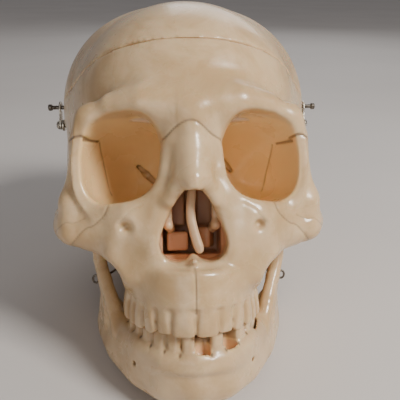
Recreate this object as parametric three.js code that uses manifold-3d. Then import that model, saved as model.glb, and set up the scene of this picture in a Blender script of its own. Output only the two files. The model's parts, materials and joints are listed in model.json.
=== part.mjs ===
// A life-size plastic model of the human skull, as used in classrooms.
// The braincase has a cut cap held by two side latches, and the lower jaw hangs on two springs.
// Millimetres, +Z up, face toward -Y. Each piece is drawn in the skull's own upright frame, whose
// origin lies between the ear openings, and the whole skull then leans back onto its jaw angles
// and the back of its head, as it stands on a table.

import * as THREE from 'three';
import { mergeVertices } from 'three/addons/utils/BufferGeometryUtils.js';
import { LoftGeometry } from 'three/addons/geometries/LoftGeometry.js';
import Module from 'manifold-3d';

const wasm = await Module();
wasm.setup();

// ---------- driving dimensions ----------

const LEAN = THREE.MathUtils.degToRad(25); // how far the skull leans back on the table
const TABLE_HEIGHT = -50.2; // level of the table in the leaning frame
const GAP = 0.35; // clearance between pieces that touch
const FAR = 300; // reaches past the whole skull

// Braincase: a smooth blend of ellipsoids, each [centre, radii].
const BRAINCASE = [
  [[0, 8, 50], [68, 80, 62]],
  [[0, -36, 48], [53, 56, 49]],
  [[22, 14, 62], [45, 60, 46]],
  [[-22, 14, 62], [45, 60, 46]],
  [[0, 46, 28], [54, 43, 48]],
  [[0, 38, 0], [50, 42, 33.8]],
  [[38, -10, 18], [27, 34, 30]],
  [[-38, -10, 18], [27, 34, 30]],
];
const BLEND = 10; // how softly the ellipsoids run together
const WALL = 4.5; // thickness of the moulded braincase
const BRAINCASE_CENTRE = new THREE.Vector3(0, 4, 46);
const BRAINCASE_STEPS = [34, 22]; // facets around and from top to bottom

// The saw cut that frees the cap.
const CUT_POINT = new THREE.Vector3(0, 0, 55);
const CUT_ANGLE = THREE.MathUtils.degToRad(7.5); // the cut falls toward the back

// Latches, one on each side of the cut.
const LATCH_SCREW = { y: 12, z: 47.5, reach: 76.2, radius: 1.2, head: 2.6 };
const LATCH_PIN = { y: 10.5, z: 57.8, reach: 80.5, radius: 1.15, head: 1.9 };
const HOOK = { inner: 72.9, thickness: 1.2, width: 5.4 };
const WASHER = { inner: 71.2, thickness: 1.3, radius: 3.4 };

// Pegs that seat the cap on the cut.
const PEG = { radius: 0.9, length: 5 };

// Lumps of the skull's base, each an ellipsoid [centre, radii]; all but the base come in pairs.
const BASE = [[0, 4, -11], [43, 47, 14.5]];
const MASTOID = [[50, 14, -11], [9.5, 12.5, 19.5]];
const NECK_CONDYLE = [[15, 9, -24], [5, 9, 5]];
const PTERYGOID = [[12.5, -46, -40], [15, -34, -12]]; // plate behind the palate: low and high corner

// Eye socket, from its rim to its back: [centre, half width, half height].
const ORBIT = {
  stations: [
    [[33, -112, 17], 18.5, 18.5], [[31, -84, 17], 17.6, 18.2], [[29, -70, 15.5], 16.5, 16],
    [[26, -57, 13.5], 13, 12.5], [[22, -47, 11.5], 7, 7],
  ],
  squareness: 2.7,
  turn: [0.97, 0.2], // how its width runs along X and Y
};

// Nasal passage, from the face back: [y, top, bottom, half width].
const NASAL_PASSAGE = [
  [-118, 4, -25.5, 13.6], [-88, 4, -25.5, 13.6], [-76, 8, -25.5, 13], [-52, 8, -24.5, 12],
  [-30, -6, -24.5, 11],
];
const NASAL_TAPER = 0.55; // how much narrower the passage is at its top

// Hollow of the palate, from the front teeth back: [y, half width, roof].
const PALATE = [[-89, 6, -45], [-84, 13, -37], [-72, 17.5, -31.5], [-56, 19.5, -29.5], [-34, 21, -28.5]];
const MOUTH_LEVEL = -58;

// Outlines of the face, level by level: [z, half outline from the midline in front to the back].
const FACE_RINGS = [
  [52, [[0, -89], [16, -87], [32, -76], [41, -64], [40, -54], [26, -46], [0, -46]]],
  [42, [[0, -94.5], [18, -92], [36, -82.5], [47.5, -71], [47, -60], [30, -48], [0, -46]]],
  [33, [[0, -97], [20, -94], [40, -84.5], [52.5, -71], [51, -60], [32, -46], [0, -44]]],
  [20, [[0, -94], [8, -90], [32, -84], [52.5, -69], [50, -58], [34, -44], [0, -38]]],
  [5, [[0, -102], [9, -94], [33, -80], [55.5, -68], [57.5, -56], [34, -44], [0, -38]]],
  [-6, [[0, -98], [14, -91], [34, -81], [58, -68.5], [61, -55], [34, -44], [0, -38]]],
  [-15, [[0, -94], [15, -90.5], [31, -83], [52, -73], [57, -60], [34, -46], [0, -40]]],
  [-24, [[0, -98], [13, -93.5], [26, -86], [39, -74], [41, -60], [31, -46], [0, -41]]],
  [-34, [[0, -98.5], [13, -95], [24.5, -86], [31, -70], [32, -56], [27, -44.5], [0, -44]]],
  [-46, [[0, -99], [13, -95], [24.5, -85], [31, -68], [32, -54], [28, -44.5], [0, -44]]],
];

// Cheekbone arch, from the cheek back to the braincase: [centre, half thickness, half height].
const CHEEK_ARCH = [
  [[50, -64, -12], 4.5, 8], [[60, -52, -10.5], 3.4, 6.6], [[64.5, -38, -7.5], 2.4, 4.8],
  [[65, -24, -3.5], 2.3, 4.2], [[62.5, -10, -0.5], 2.6, 4.2], [[57, 3, 3], 3.4, 4.6],
  [[52, 10, 6], 4, 5],
];

// Nasal septum, from its low edge up: [z, sideways bend].
const SEPTUM = { leaves: [[-22, 1.5], [-16, 3], [-8, 0.5], [0, -1.2], [3, -0.8]], front: -84, back: -50 };

// Inferior concha, from back to front: [y, share of its full size].
const CONCHA = { x: 8.6, z: -11, half: [1.5, 6.5], curls: [[-52, 0.5], [-60, 1], [-70, 1], [-78, 0.6]] };

// Lower jaw. Stations run from the chin back:
// [low point, high point, half thickness below, half thickness above, outward direction].
const JAW_STATIONS = [
  [[0, -79.5, -83], [0, -88.5, -62], 7.2, 4.6, [0, -1]],
  [[13, -76.5, -82], [11.5, -86, -62], 7, 4.8, [0.32, -1]],
  [[24, -66.5, -79.5], [21, -76, -61.5], 6.2, 5.2, [0.75, -0.8]],
  [[34, -50.5, -75], [27, -62, -60.5], 5.6, 5.8, [1, -0.55]],
  [[40.6, -34, -69.5], [32, -46, -58.5], 4.8, 5.6, [1, -0.35]],
  [[44.4, -21, -64.5], [40.5, -33, -50], 3.8, 4.2, [1, -0.2]],
];
const RAMUS = {
  x: 45.4, // where it crosses the turning point
  turnPoint: -28, // y about which it is turned
  flare: THREE.MathUtils.degToRad(11), // it leans outward toward the back
  thickness: 6.4,
  outline: [
    [-15.5, -61.5], [-10, -42], [-7.2, -24], [-7.6, -9], [-13, -6], [-18, -11], [-28, -17], [-37, -11],
    [-43, -6.5], [-46.5, -14], [-44.5, -28], [-45, -42], [-50, -54], [-48, -64], [-34, -70.5],
    [-22, -66.8],
  ],
};
const JAW_HINGE = { y: -12, z: -6 };
const CONDYLE = { x: 50, radii: [9, 4.4, 4.6] };
const JOINT_HOLLOW = { centre: [49.5, -12, -9], radii: [12.5, 8.4, 9.6] };
const RIDGE = { half: 4.6, tall: 5.6, z: -61 }; // bone under the lower teeth

// Springs that hang the jaw.
const SPRING = { turns: 5, coilRadius: 3.1, wireRadius: 0.75, sides: 3, stepsPerTurn: 9 };
const SPRING_TOP = [37.5, -29, -17];
const SPRING_HOLE = [43, -40.5, -36];
const WIRE_HOLE_RADIUS = 2.2;
const SPRING_SCREW = { radius: 1.15, head: 2.4, length: 12, way: [-14, 0, 12] };

// Teeth: [width along the arch, thickness, biting edge height], from the midline back.
const UPPER_TEETH = [
  [8.6, 6.2, -53.6], [6.8, 5.8, -53.0], [7.6, 6.6, -52.8], [7.0, 8.6, -51.6],
  [6.8, 8.6, -51.6], [10.0, 10.2, -50.6], [9.4, 10.0, -50.2],
];
const LOWER_TEETH = [
  [5.2, 5.2, -51.6], [5.7, 5.4, -51.8], [6.8, 6.6, -53.2], [7.0, 7.6, -52.6],
  [7.2, 8.0, -52.4], [11.0, 9.6, -51.4], [10.4, 9.6, -51.0],
];
const UPPER_ARCH = { centre: -51, halfWidth: 27.5, depth: 44.5, root: -42 };
const LOWER_ARCH = { centre: -48, halfWidth: 26, depth: 42, root: -63 };
const EMPTY_SOCKETS = [0, 2]; // lower left central incisor and canine are missing
const LOOSE_MOLAR = 5; // the lower left first molar pulls out

// ---------- materials ----------

const plastic = (color) => new THREE.MeshStandardMaterial({ color, roughness: 0.35, metalness: 0 });
const metal = (color) => new THREE.MeshStandardMaterial({ color, roughness: 0.3, metalness: 1 });
const IVORY = 0xd8c8ae;
const CAVITY_TAN = 0xbe9160;
const TOOTH = 0xe4dac4;
const NICKEL = 0xb8b4a8;
const SPRING_STEEL = 0x5a564e;

// ---------- solids ----------

const vector = (point) => new THREE.Vector3(...point);

function solidOf(geometry) {
  const bare = new THREE.BufferGeometry().copy(geometry);
  bare.deleteAttribute('normal');
  bare.deleteAttribute('uv');
  const merged = mergeVertices(bare, 1e-4);
  const vertProperties = new Float32Array(merged.attributes.position.array);
  const triVerts = new Uint32Array(merged.index.array);
  return new wasm.Manifold(new wasm.Mesh({ numProp: 3, vertProperties, triVerts }));
}

function geometryOf(solid) {
  const mesh = solid.getMesh();
  const geometry = new THREE.BufferGeometry();
  geometry.setAttribute('position', new THREE.BufferAttribute(mesh.vertProperties, 3));
  geometry.setIndex(new THREE.BufferAttribute(mesh.triVerts, 1));
  geometry.computeVertexNormals();
  return geometry;
}

const join = (solids) => solids.reduce((whole, solid) => whole.add(solid));
const cut = (solid, tools) => tools.reduce((left, tool) => left.subtract(tool), solid);

function mirrored(geometry) {
  const flipped = new THREE.BufferGeometry().copy(geometry).scale(-1, 1, 1);
  const index = flipped.index.array;
  for (let i = 0; i < index.length; i += 3) {
    [index[i], index[i + 1]] = [index[i + 1], index[i]];
  }
  return flipped;
}

const bothSides = (geometry) => [solidOf(geometry), solidOf(mirrored(indexed(geometry)))];

function indexed(geometry) {
  return geometry.index ? geometry : mergeVertices(geometry);
}

function ellipsoid(centre, radii, around = 16, down = 10) {
  return new THREE.SphereGeometry(1, around, down).scale(...radii).translate(...centre);
}

function box(low, high) {
  const size = high.map((value, i) => value - low[i]);
  const middle = high.map((value, i) => (value + low[i]) / 2);
  return new THREE.BoxGeometry(...size).translate(...middle);
}

// A round bar or disc between two points.
function rod(from, to, radius, sides = 12) {
  const start = vector(from);
  const direction = vector(to).sub(start);
  const turn = new THREE.Quaternion().setFromUnitVectors(
    new THREE.Vector3(0, 1, 0), direction.clone().normalize());
  const geometry = new THREE.CylinderGeometry(radius, radius, direction.length(), sides);
  return geometry.applyQuaternion(turn).translate(...start.addScaledVector(direction, 0.5).toArray());
}

// A closed ring through half an outline, mirrored across the midline, at height z.
function ring(half, z, count = 36) {
  const left = half.map(([x, y]) => new THREE.Vector3(x, y, z));
  const right = half.slice(1, -1).reverse().map(([x, y]) => new THREE.Vector3(-x, y, z));
  const curve = new THREE.CatmullRomCurve3([...left, ...right], true, 'centripetal');
  return curve.getSpacedPoints(count).slice(0, count);
}

function middleOf(points) {
  return points.reduce((sum, point) => sum.add(point), new THREE.Vector3()).divideScalar(points.length);
}

// A closed skin through sections, whichever way round their points were drawn.
function loft(sections) {
  const [first, second] = sections.map(middleOf);
  const turning = new THREE.Vector3();
  sections[0].forEach((point, i, all) => {
    const next = all[(i + 1) % all.length];
    turning.add(point.clone().sub(first).cross(next.clone().sub(first)));
  });
  const backwards = turning.dot(second.sub(first)) < 0;
  const ordered = backwards ? sections.map((points) => [...points].reverse()) : sections;
  return new LoftGeometry(ordered, { capStart: true, capEnd: true });
}

// An oval section at a point, spanned by two directions.
function oval(centre, across, up, squareness = 2, count = 14) {
  return Array.from({ length: count }, (_, i) => {
    const angle = (i / count) * Math.PI * 2;
    const bulge = (value) => Math.sign(value) * Math.abs(value) ** (2 / squareness);
    return vector(centre)
      .addScaledVector(vector(across), bulge(Math.cos(angle)))
      .addScaledVector(vector(up), bulge(Math.sin(angle)));
  });
}

// A flat plate: a shape in the YZ plane, pushed out along X from x to x + thickness.
function sidePlate(shape, x, thickness, curveSegments) {
  const settings = { depth: thickness, bevelEnabled: false, curveSegments };
  const sideways = new THREE.Matrix4().makeBasis(
    new THREE.Vector3(0, 1, 0), new THREE.Vector3(0, 0, 1), new THREE.Vector3(1, 0, 0));
  return new THREE.ExtrudeGeometry(shape, settings).applyMatrix4(sideways).translate(x, 0, 0);
}

// ---------- braincase ----------

function ellipsoidDistance(point, [centre, radii]) {
  const q = point.clone().sub(vector(centre));
  const size = vector(radii);
  const near = q.clone().divide(size).length();
  const far = q.clone().divide(size).divide(size).length();
  return near * (near - 1) / Math.max(far, 1e-9);
}

function braincaseDistance(point) {
  return BRAINCASE.map((part) => ellipsoidDistance(point, part)).reduce((a, b) => {
    const h = Math.max(BLEND - Math.abs(a - b), 0) / BLEND;
    return Math.min(a, b) - h * h * BLEND / 4;
  });
}

// A closed ball whose every corner is moved to the given depth under the braincase's skin.
function braincaseSkin(depth) {
  const geometry = new THREE.SphereGeometry(1, ...BRAINCASE_STEPS).rotateX(Math.PI / 2);
  const corners = geometry.attributes.position;
  for (let i = 0; i < corners.count; i += 1) {
    const direction = new THREE.Vector3().fromBufferAttribute(corners, i).normalize();
    let near = 0;
    let far = 140;
    for (let step = 0; step < 30; step += 1) {
      const middle = (near + far) / 2;
      const point = BRAINCASE_CENTRE.clone().addScaledVector(direction, middle);
      if (braincaseDistance(point) < -depth) near = middle;
      else far = middle;
    }
    corners.setXYZ(i, ...BRAINCASE_CENTRE.clone().addScaledVector(direction, near).toArray());
  }
  return geometry;
}

// Half space above (+1) or below (-1) the saw cut, moved away from it by a clearance.
function cutSide(side, clearance) {
  const block = box([-FAR, -FAR, 0], [FAR, FAR, FAR]);
  if (side < 0) block.translate(0, 0, -FAR);
  block.translate(0, 0, side * clearance);
  block.rotateX(-CUT_ANGLE);
  return block.translate(...CUT_POINT.toArray());
}

// Everything below the table, in the skull's upright frame.
function underTable() {
  return box([-FAR, -FAR, TABLE_HEIGHT - FAR], [FAR, FAR, TABLE_HEIGHT]).rotateX(LEAN);
}

// A point on the saw cut, and its normal.
const CUT_NORMAL = new THREE.Vector3(0, 0, 1).applyAxisAngle(new THREE.Vector3(1, 0, 0), -CUT_ANGLE);
const cutHeight = (y) => CUT_POINT.z - (y - CUT_POINT.y) * Math.tan(CUT_ANGLE);

// ---------- inner base: three steps of the cranial floor ----------

const FLOOR = { front: 31.5, middle: 5, back: -15, edge: -36, thickness: 3 };

function rise(from, to, value) {
  return THREE.MathUtils.smoothstep(value, Math.min(from, to), Math.max(from, to));
}

function floorHeight(x, y) {
  const side = Math.abs(x);
  const ridge = y - (-4 + 0.36 * side); // distance behind the petrous ridge
  const middleToBack = rise(0, 12, ridge);
  const frontToMiddle = rise(-8, 4, y - FLOOR.edge + 0.12 * side);
  const ridgeHump = 11 * Math.exp(-((ridge - 2) ** 2) / 40) * rise(6, 14, side);
  const saddle = 10 * Math.exp(-(side ** 2) / 80) * (1 - middleToBack);
  const sockets = 5 * Math.exp(-((side - 26) ** 2) / 160 - ((y + 60) ** 2) / 300);
  const middle = FLOOR.middle + saddle + ridgeHump * (1 - middleToBack);
  const back = FLOOR.back + ridgeHump;
  const behind = THREE.MathUtils.lerp(middle, back, middleToBack);
  return THREE.MathUtils.lerp(FLOOR.front + sockets, behind, frontToMiddle);
}

// A slab whose underside follows the cranial floor, and whose top is level or follows it too.
function floorSlab(below, topAt) {
  const geometry = new THREE.BoxGeometry(144, 190, 2, 12, 19, 1);
  const corners = geometry.attributes.position;
  for (let i = 0; i < corners.count; i += 1) {
    const x = corners.getX(i);
    const y = corners.getY(i) + 2;
    const height = floorHeight(x, y);
    corners.setXYZ(i, x, y, corners.getZ(i) < 0 ? height + below : topAt(height));
  }
  return geometry;
}

// ---------- openings ----------

const MAGNUM = { x: 0, y: 18, radii: [14.5, 17.5] };

function foramenMagnum(grow = 0) {
  const hole = new THREE.CylinderGeometry(1, 1, 60, 20).rotateX(Math.PI / 2);
  hole.scale(MAGNUM.radii[0] + grow, MAGNUM.radii[1] + grow, 1);
  return hole.translate(MAGNUM.x, MAGNUM.y, -25);
}

// Eye sockets: wide at the rim, narrow at the back, leaning toward the midline.
function orbit() {
  const [alongX, alongY] = ORBIT.turn;
  return loft(ORBIT.stations.map(([centre, wide, high]) =>
    oval(centre, [wide * alongX, wide * alongY, 0], [0, 0, high], ORBIT.squareness, 16)));
}

// The nasal opening is pear shaped, and the passage runs back under the braincase.
function nasalPassage() {
  return loft(NASAL_PASSAGE.map(([y, top, bottom, wide]) =>
    Array.from({ length: 16 }, (_, i) => {
      const angle = (i / 16) * Math.PI * 2;
      const height = Math.sin(angle);
      const narrowed = wide * (1 - NASAL_TAPER * Math.max(height, 0));
      const z = (top + bottom) / 2 + (top - bottom) / 2 * height;
      return new THREE.Vector3(narrowed * Math.cos(angle), y, z);
    })));
}

// The hollow of the palate, open to the back.
function mouthHollow() {
  return loft(PALATE.map(([y, wide, roof]) =>
    oval([0, y, MOUTH_LEVEL], [wide, 0, 0], [0, 0, roof - MOUTH_LEVEL], 2.5, 16)));
}

// ---------- face ----------

function faceBlock() {
  return loft(FACE_RINGS.map(([z, half]) => ring(half, z)).reverse());
}

function cheekArch() {
  return loft(CHEEK_ARCH.map(([centre, wide, high]) =>
    oval(centre, [wide * 0.8, wide * 0.6, 0], [0, 0, high], 2.2, 10)));
}

// Where a tooth stands on its arch, at a distance along it from the midline.
function archPlace(arch, along) {
  let angle = Math.PI / 2;
  let travelled = 0;
  const step = 0.002;
  while (travelled < along) {
    angle -= step;
    travelled += step * Math.hypot(arch.halfWidth * Math.sin(angle), arch.depth * Math.cos(angle));
  }
  const x = arch.halfWidth * Math.cos(angle);
  const y = arch.centre - arch.depth * Math.sin(angle);
  const facing = Math.atan2(arch.depth * Math.cos(angle), arch.halfWidth * Math.sin(angle));
  return { x, y, facing };
}

// One crown: a six-sided block, narrower at its neck, turned to face out of the arch.
function crown(arch, along, [width, thickness, edge], side, inset = 0) {
  const { x, y, facing } = archPlace(arch, along);
  const height = Math.abs(edge - arch.root);
  const wideEnd = edge < arch.root ? [0.38, 0.5] : [0.5, 0.38];
  const shape = new THREE.CylinderGeometry(wideEnd[1], wideEnd[0], height, 6).rotateX(Math.PI / 2);
  shape.scale(width * 1.03 - inset, thickness - inset, 1);
  shape.rotateZ(facing).translate(x, y, (edge + arch.root) / 2);
  return side > 0 ? shape : mirrored(indexed(shape));
}

function toothRow(arch, teeth, side, skip = []) {
  let along = 0;
  const row = [];
  teeth.forEach((tooth, i) => {
    along += tooth[0] / 2;
    if (!skip.includes(i)) row.push(crown(arch, along, tooth, side));
    along += tooth[0] / 2;
  });
  return row;
}

// ---------- the cranium: face and lower braincase in one moulding ----------

function cranium(outerSkin, innerSkin) {
  const mastoids = bothSides(ellipsoid(...MASTOID, 12, 8));
  const pterygoids = bothSides(box(...PTERYGOID));
  const base = solidOf(ellipsoid(...BASE, 20, 10));
  const condyles = bothSides(ellipsoid(...NECK_CONDYLE, 10, 6));
  const teeth = [1, -1].flatMap((side) => toothRow(UPPER_ARCH, UPPER_TEETH, side)).map(solidOf);
  const body = join([
    outerSkin, solidOf(faceBlock()), base, ...bothSides(cheekArch()), ...mastoids,
    ...pterygoids, ...condyles,
  ]);
  const brainRoom = innerSkin.intersect(solidOf(floorSlab(0, () => FAR)));
  const jointHollows = bothSides(ellipsoid(JOINT_HOLLOW.centre, JOINT_HOLLOW.radii, 14, 10));
  const hollowed = cut(body, [
    brainRoom, ...bothSides(orbit()), solidOf(nasalPassage()), solidOf(mouthHollow()),
    solidOf(foramenMagnum()), ...jointHollows,
  ]);
  const moulding = join([hollowed, ...teeth]);
  return cut(moulding, [
    solidOf(cutSide(1, 0)), solidOf(underTable()), ...bothSides(latchScrewHole()),
    ...pegHoles(), ...bothSides(springScrewHole()),
  ]);
}

function cranialFloor(innerSkin) {
  const lining = solidOf(floorSlab(GAP, (height) => height + GAP + FLOOR.thickness));
  return cut(lining.intersect(innerSkin), [solidOf(foramenMagnum(1))]);
}

// ---------- the cap ----------

function calvarium(outerSkin, innerSkin) {
  const above = solidOf(cutSide(1, GAP));
  return cut(outerSkin.subtract(innerSkin).intersect(above), [
    ...bothSides(latchPinHole()), ...pegHoles(),
  ]);
}

function peg(y, grow = 0) {
  const middle = new THREE.Vector3(0, y, cutHeight(y));
  const reach = CUT_NORMAL.clone().multiplyScalar(PEG.length / 2 + grow);
  const low = middle.clone().sub(reach).toArray();
  const high = middle.clone().add(reach).toArray();
  return rod(low, high, PEG.radius + grow, 10);
}

// Where the middle of the wall crosses the saw cut, ahead of (-1) or behind (+1) the centre.
function wallMiddle(side) {
  let y = 0;
  while (braincaseDistance(new THREE.Vector3(0, y, cutHeight(y))) < -WALL / 2) y += side * 0.05;
  return y;
}

const pegHoles = () => [-1, 1].map((side) => solidOf(peg(wallMiddle(side), GAP)));

// ---------- latches ----------

function latchScrewHole() {
  return rod([55, LATCH_SCREW.y, LATCH_SCREW.z], [85, LATCH_SCREW.y, LATCH_SCREW.z],
    LATCH_SCREW.radius + GAP);
}

function latchPinHole() {
  return rod([50, LATCH_PIN.y, LATCH_PIN.z], [90, LATCH_PIN.y, LATCH_PIN.z],
    LATCH_PIN.radius + GAP);
}

// A turned pin along +X: [x, radius] pairs from its inner end to its outer end.
function turned(profile, y, z, sides = 12) {
  const outline = profile.map(([x, radius]) => new THREE.Vector2(radius, x));
  const geometry = new THREE.LatheGeometry(outline, sides).rotateZ(-Math.PI / 2);
  return geometry.translate(0, y, z);
}

function latchScrew() {
  const { y, z, reach, radius, head } = LATCH_SCREW;
  const top = HOOK.inner + HOOK.thickness + GAP;
  return turned([
    [63, 0], [63, radius], [top, radius], [top, head], [reach - 0.5, head], [reach, head - 0.8],
    [reach, 0],
  ], y, z);
}

function latchWasher() {
  const { inner, thickness, radius } = WASHER;
  const bore = LATCH_SCREW.radius + GAP;
  return turned([
    [inner, bore], [inner, radius], [inner + thickness, radius], [inner + thickness, bore],
    [inner, bore],
  ], LATCH_SCREW.y, LATCH_SCREW.z);
}

function latchPin() {
  const { y, z, reach, radius, head } = LATCH_PIN;
  return turned([
    [61, 0], [61, radius], [reach - 2.4, radius], [reach - 2.4, head], [reach - 0.5, head],
    [reach, head - 0.6], [reach, 0],
  ], y, z);
}

// The hook is a flat strip on its screw; its notch takes the pin from behind.
function latchHook() {
  const half = HOOK.width / 2;
  const { y, z } = LATCH_SCREW;
  const pin = [LATCH_PIN.y - y, LATCH_PIN.z - z];
  const notch = LATCH_PIN.radius + GAP;
  const shape = new THREE.Shape();
  shape.absarc(0, 0, half, Math.PI, Math.PI * 2, false);
  shape.lineTo(half, pin[1] - notch - 1.2);
  shape.lineTo(half - 0.4, pin[1] - notch);
  shape.lineTo(pin[0], pin[1] - notch);
  shape.absarc(pin[0], pin[1], notch, -Math.PI / 2, -Math.PI * 1.5, true);
  shape.lineTo(half - 0.2, pin[1] + notch + 0.3);
  shape.lineTo(half - 0.2, pin[1] + notch + 1.6);
  shape.lineTo(pin[0], pin[1] + notch + 2.2);
  shape.lineTo(-half - 0.9, pin[1] + notch + 0.6);
  shape.lineTo(-half - 0.9, pin[1] - notch);
  shape.lineTo(-half, pin[1] - notch - 2.5);
  shape.closePath();
  shape.holes.push(new THREE.Path().absarc(0, 0, LATCH_SCREW.radius + GAP, 0, Math.PI * 2, false));
  return sidePlate(shape, HOOK.inner, HOOK.thickness, 10).translate(0, y, z);
}

// ---------- nose ----------

function septum() {
  const { leaves, front, back } = SEPTUM;
  const middle = (front + back) / 2 + 1;
  return loft(leaves.map(([z, bend]) => [
    [bend - 1, front, z], [bend + 1, front, z], [bend * 0.6 + 1.2, middle, z], [1, back, z], [-1, back, z],
    [bend * 0.6 - 1.2, middle, z],
  ].map(vector)));
}

function concha() {
  const [wide, high] = CONCHA.half;
  return loft(CONCHA.curls.map(([y, size]) =>
    oval([CONCHA.x, y, CONCHA.z], [wide * size, 0, 0.5], [-0.6, 0, high * size], 2.4, 10)));
}

// ---------- lower jaw ----------

// One section of the jaw's body: an egg with its wide end at the lower border.
function jawSection([low, high, lowHalf, highHalf, outward], side) {
  const count = 14;
  const across = new THREE.Vector3(outward[0] * side, outward[1], 0).normalize();
  const bottom = new THREE.Vector3(low[0] * side, low[1], low[2]);
  const top = new THREE.Vector3(high[0] * side, high[1], high[2]);
  const middle = bottom.clone().add(top).multiplyScalar(0.5);
  const up = top.clone().sub(bottom).multiplyScalar(0.5);
  return Array.from({ length: count }, (_, i) => {
    const angle = (i / count) * Math.PI * 2;
    const height = Math.sign(Math.sin(angle)) * Math.abs(Math.sin(angle)) ** 0.8;
    const half = THREE.MathUtils.lerp(lowHalf, highHalf, (height + 1) / 2);
    return middle.clone().addScaledVector(up, height).addScaledVector(across, half * Math.cos(angle));
  });
}

function jawBody() {
  const right = JAW_STATIONS.map((station) => jawSection(station, 1));
  const left = JAW_STATIONS.slice(1).map((station) => jawSection(station, -1));
  return loft([...left.reverse(), ...right]);
}

function ramus() {
  const { x, turnPoint, flare, thickness, outline } = RAMUS;
  const [start, ...rest] = outline.map(([y, z]) => new THREE.Vector2(y - turnPoint, z));
  const shape = new THREE.Shape().moveTo(start.x, start.y).splineThru([...rest, start]);
  return sidePlate(shape, -thickness / 2, thickness, 2).rotateZ(-flare).translate(x, turnPoint, 0);
}

function alveolarRidge() {
  const half = LOWER_TEETH.reduce((sum, tooth) => sum + tooth[0], 0);
  const places = Array.from({ length: 9 }, (_, i) => archPlace(LOWER_ARCH, (half * i) / 8));
  const section = ({ x, y, facing }, side) => {
    const across = [Math.sin(facing) * RIDGE.half * side, -Math.cos(facing) * RIDGE.half, 0];
    return oval([x * side, y, RIDGE.z], across, [0, 0, RIDGE.tall], 3, 12);
  };
  const right = places.map((place) => section(place, 1));
  const left = places.slice(1).map((place) => section(place, -1));
  return loft([...left.reverse(), ...right]);
}

function alongTo(teeth, index) {
  const before = teeth.slice(0, index).reduce((sum, tooth) => sum + tooth[0], 0);
  return before + teeth[index][0] / 2;
}

// The hole that a tooth's root leaves in the lower gum.
function socket(index) {
  const [width, thickness] = LOWER_TEETH[index];
  const { x, y, facing } = archPlace(LOWER_ARCH, alongTo(LOWER_TEETH, index));
  const hole = new THREE.CylinderGeometry(0.5, 0.36, 14, 10).rotateX(Math.PI / 2);
  return hole.scale(width - 0.8, thickness - 1, 1).rotateZ(facing).translate(x, y, -59);
}

function looseMolar() {
  const [width, thickness, edge] = LOWER_TEETH[LOOSE_MOLAR];
  const { x, y, facing } = archPlace(LOWER_ARCH, alongTo(LOWER_TEETH, LOOSE_MOLAR));
  const place = (geometry) => solidOf(geometry.rotateZ(facing).translate(x, y, 0));
  const top = new THREE.CylinderGeometry(0.5, 0.42, 6, 8).rotateX(Math.PI / 2).rotateZ(Math.PI / 8);
  const root = new THREE.CylinderGeometry(0.5, 0.32, 10, 8).rotateX(Math.PI / 2);
  return join([
    place(top.scale(width - 0.9, thickness - 0.4, 1).translate(0, 0, edge - 3)),
    place(root.scale(width - 4.4, thickness - 4.4, 1).translate(0, 0, edge - 10)),
  ]);
}

function molarSocket() {
  const [width, thickness, edge] = LOWER_TEETH[LOOSE_MOLAR];
  const { x, y, facing } = archPlace(LOWER_ARCH, alongTo(LOWER_TEETH, LOOSE_MOLAR));
  const room = [
    new THREE.BoxGeometry(width + 1, thickness + 2, 12).translate(0, 0, edge),
    new THREE.CylinderGeometry(0.5, 0.42, 12, 8).rotateX(Math.PI / 2)
      .scale(width - 3.2, thickness - 3.2, 1).translate(0, 0, edge - 10),
  ];
  return room.map((geometry) => solidOf(geometry.rotateZ(facing).translate(x, y, 0)));
}

function mandible() {
  const rowLeft = toothRow(LOWER_ARCH, LOWER_TEETH, 1, [...EMPTY_SOCKETS, LOOSE_MOLAR]);
  const rowRight = toothRow(LOWER_ARCH, LOWER_TEETH, -1);
  const condyles = bothSides(ellipsoid([CONDYLE.x, JAW_HINGE.y, JAW_HINGE.z], CONDYLE.radii, 14, 8));
  const body = join([
    solidOf(jawBody()), solidOf(alveolarRidge()), ...bothSides(ramus()), ...condyles,
    ...[...rowLeft, ...rowRight].map(solidOf),
  ]);
  return cut(body, [
    ...EMPTY_SOCKETS.map((index) => solidOf(socket(index))), ...molarSocket(),
    solidOf(underTable()), ...bothSides(springWireHole()),
  ]);
}

// ---------- springs ----------

function springWireHole() {
  const [, y, z] = SPRING_HOLE;
  return rod([35, y, z], [60, y, z], WIRE_HOLE_RADIUS, 10);
}

function springScrewHole() {
  const end = SPRING_TOP.map((value, i) => value + SPRING_SCREW.way[i]);
  return rod(SPRING_TOP, end, SPRING_SCREW.radius + GAP, 8);
}

// The coil leans from its screw on the cranium to its hole through the jaw.
function jawSpring() {
  const top = vector(SPRING_TOP).add(new THREE.Vector3(0.6, -0.4, -2.4));
  const hole = vector(SPRING_HOLE);
  const bottom = hole.clone().add(new THREE.Vector3(-8, 2.5, 3.5));
  const axis = bottom.clone().sub(top);
  const frame = new THREE.Quaternion().setFromUnitVectors(
    new THREE.Vector3(0, 0, 1), axis.clone().normalize());
  const points = [];
  const steps = SPRING.turns * SPRING.stepsPerTurn;
  for (let i = 0; i <= steps; i += 1) {
    const angle = (i / SPRING.stepsPerTurn) * Math.PI * 2;
    const around = new THREE.Vector3(Math.cos(angle), Math.sin(angle), 0)
      .multiplyScalar(SPRING.coilRadius).applyQuaternion(frame);
    points.push(top.clone().addScaledVector(axis, 0.12 + 0.76 * i / steps).add(around));
  }
  points.unshift(top);
  points.push(
    bottom,
    hole.clone().add(new THREE.Vector3(-2, 0, 0.6)),
    hole.clone().add(new THREE.Vector3(5, 0, 0)),
    hole.clone().add(new THREE.Vector3(6.6, 0.4, -2.2)),
  );
  const path = new THREE.CatmullRomCurve3(points, false, 'centripetal');
  const section = new THREE.Shape().absarc(0, 0, SPRING.wireRadius, 0, Math.PI * 2, false);
  return new THREE.ExtrudeGeometry(section, {
    steps: points.length, extrudePath: path, curveSegments: SPRING.sides, bevelEnabled: false,
  });
}

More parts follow.
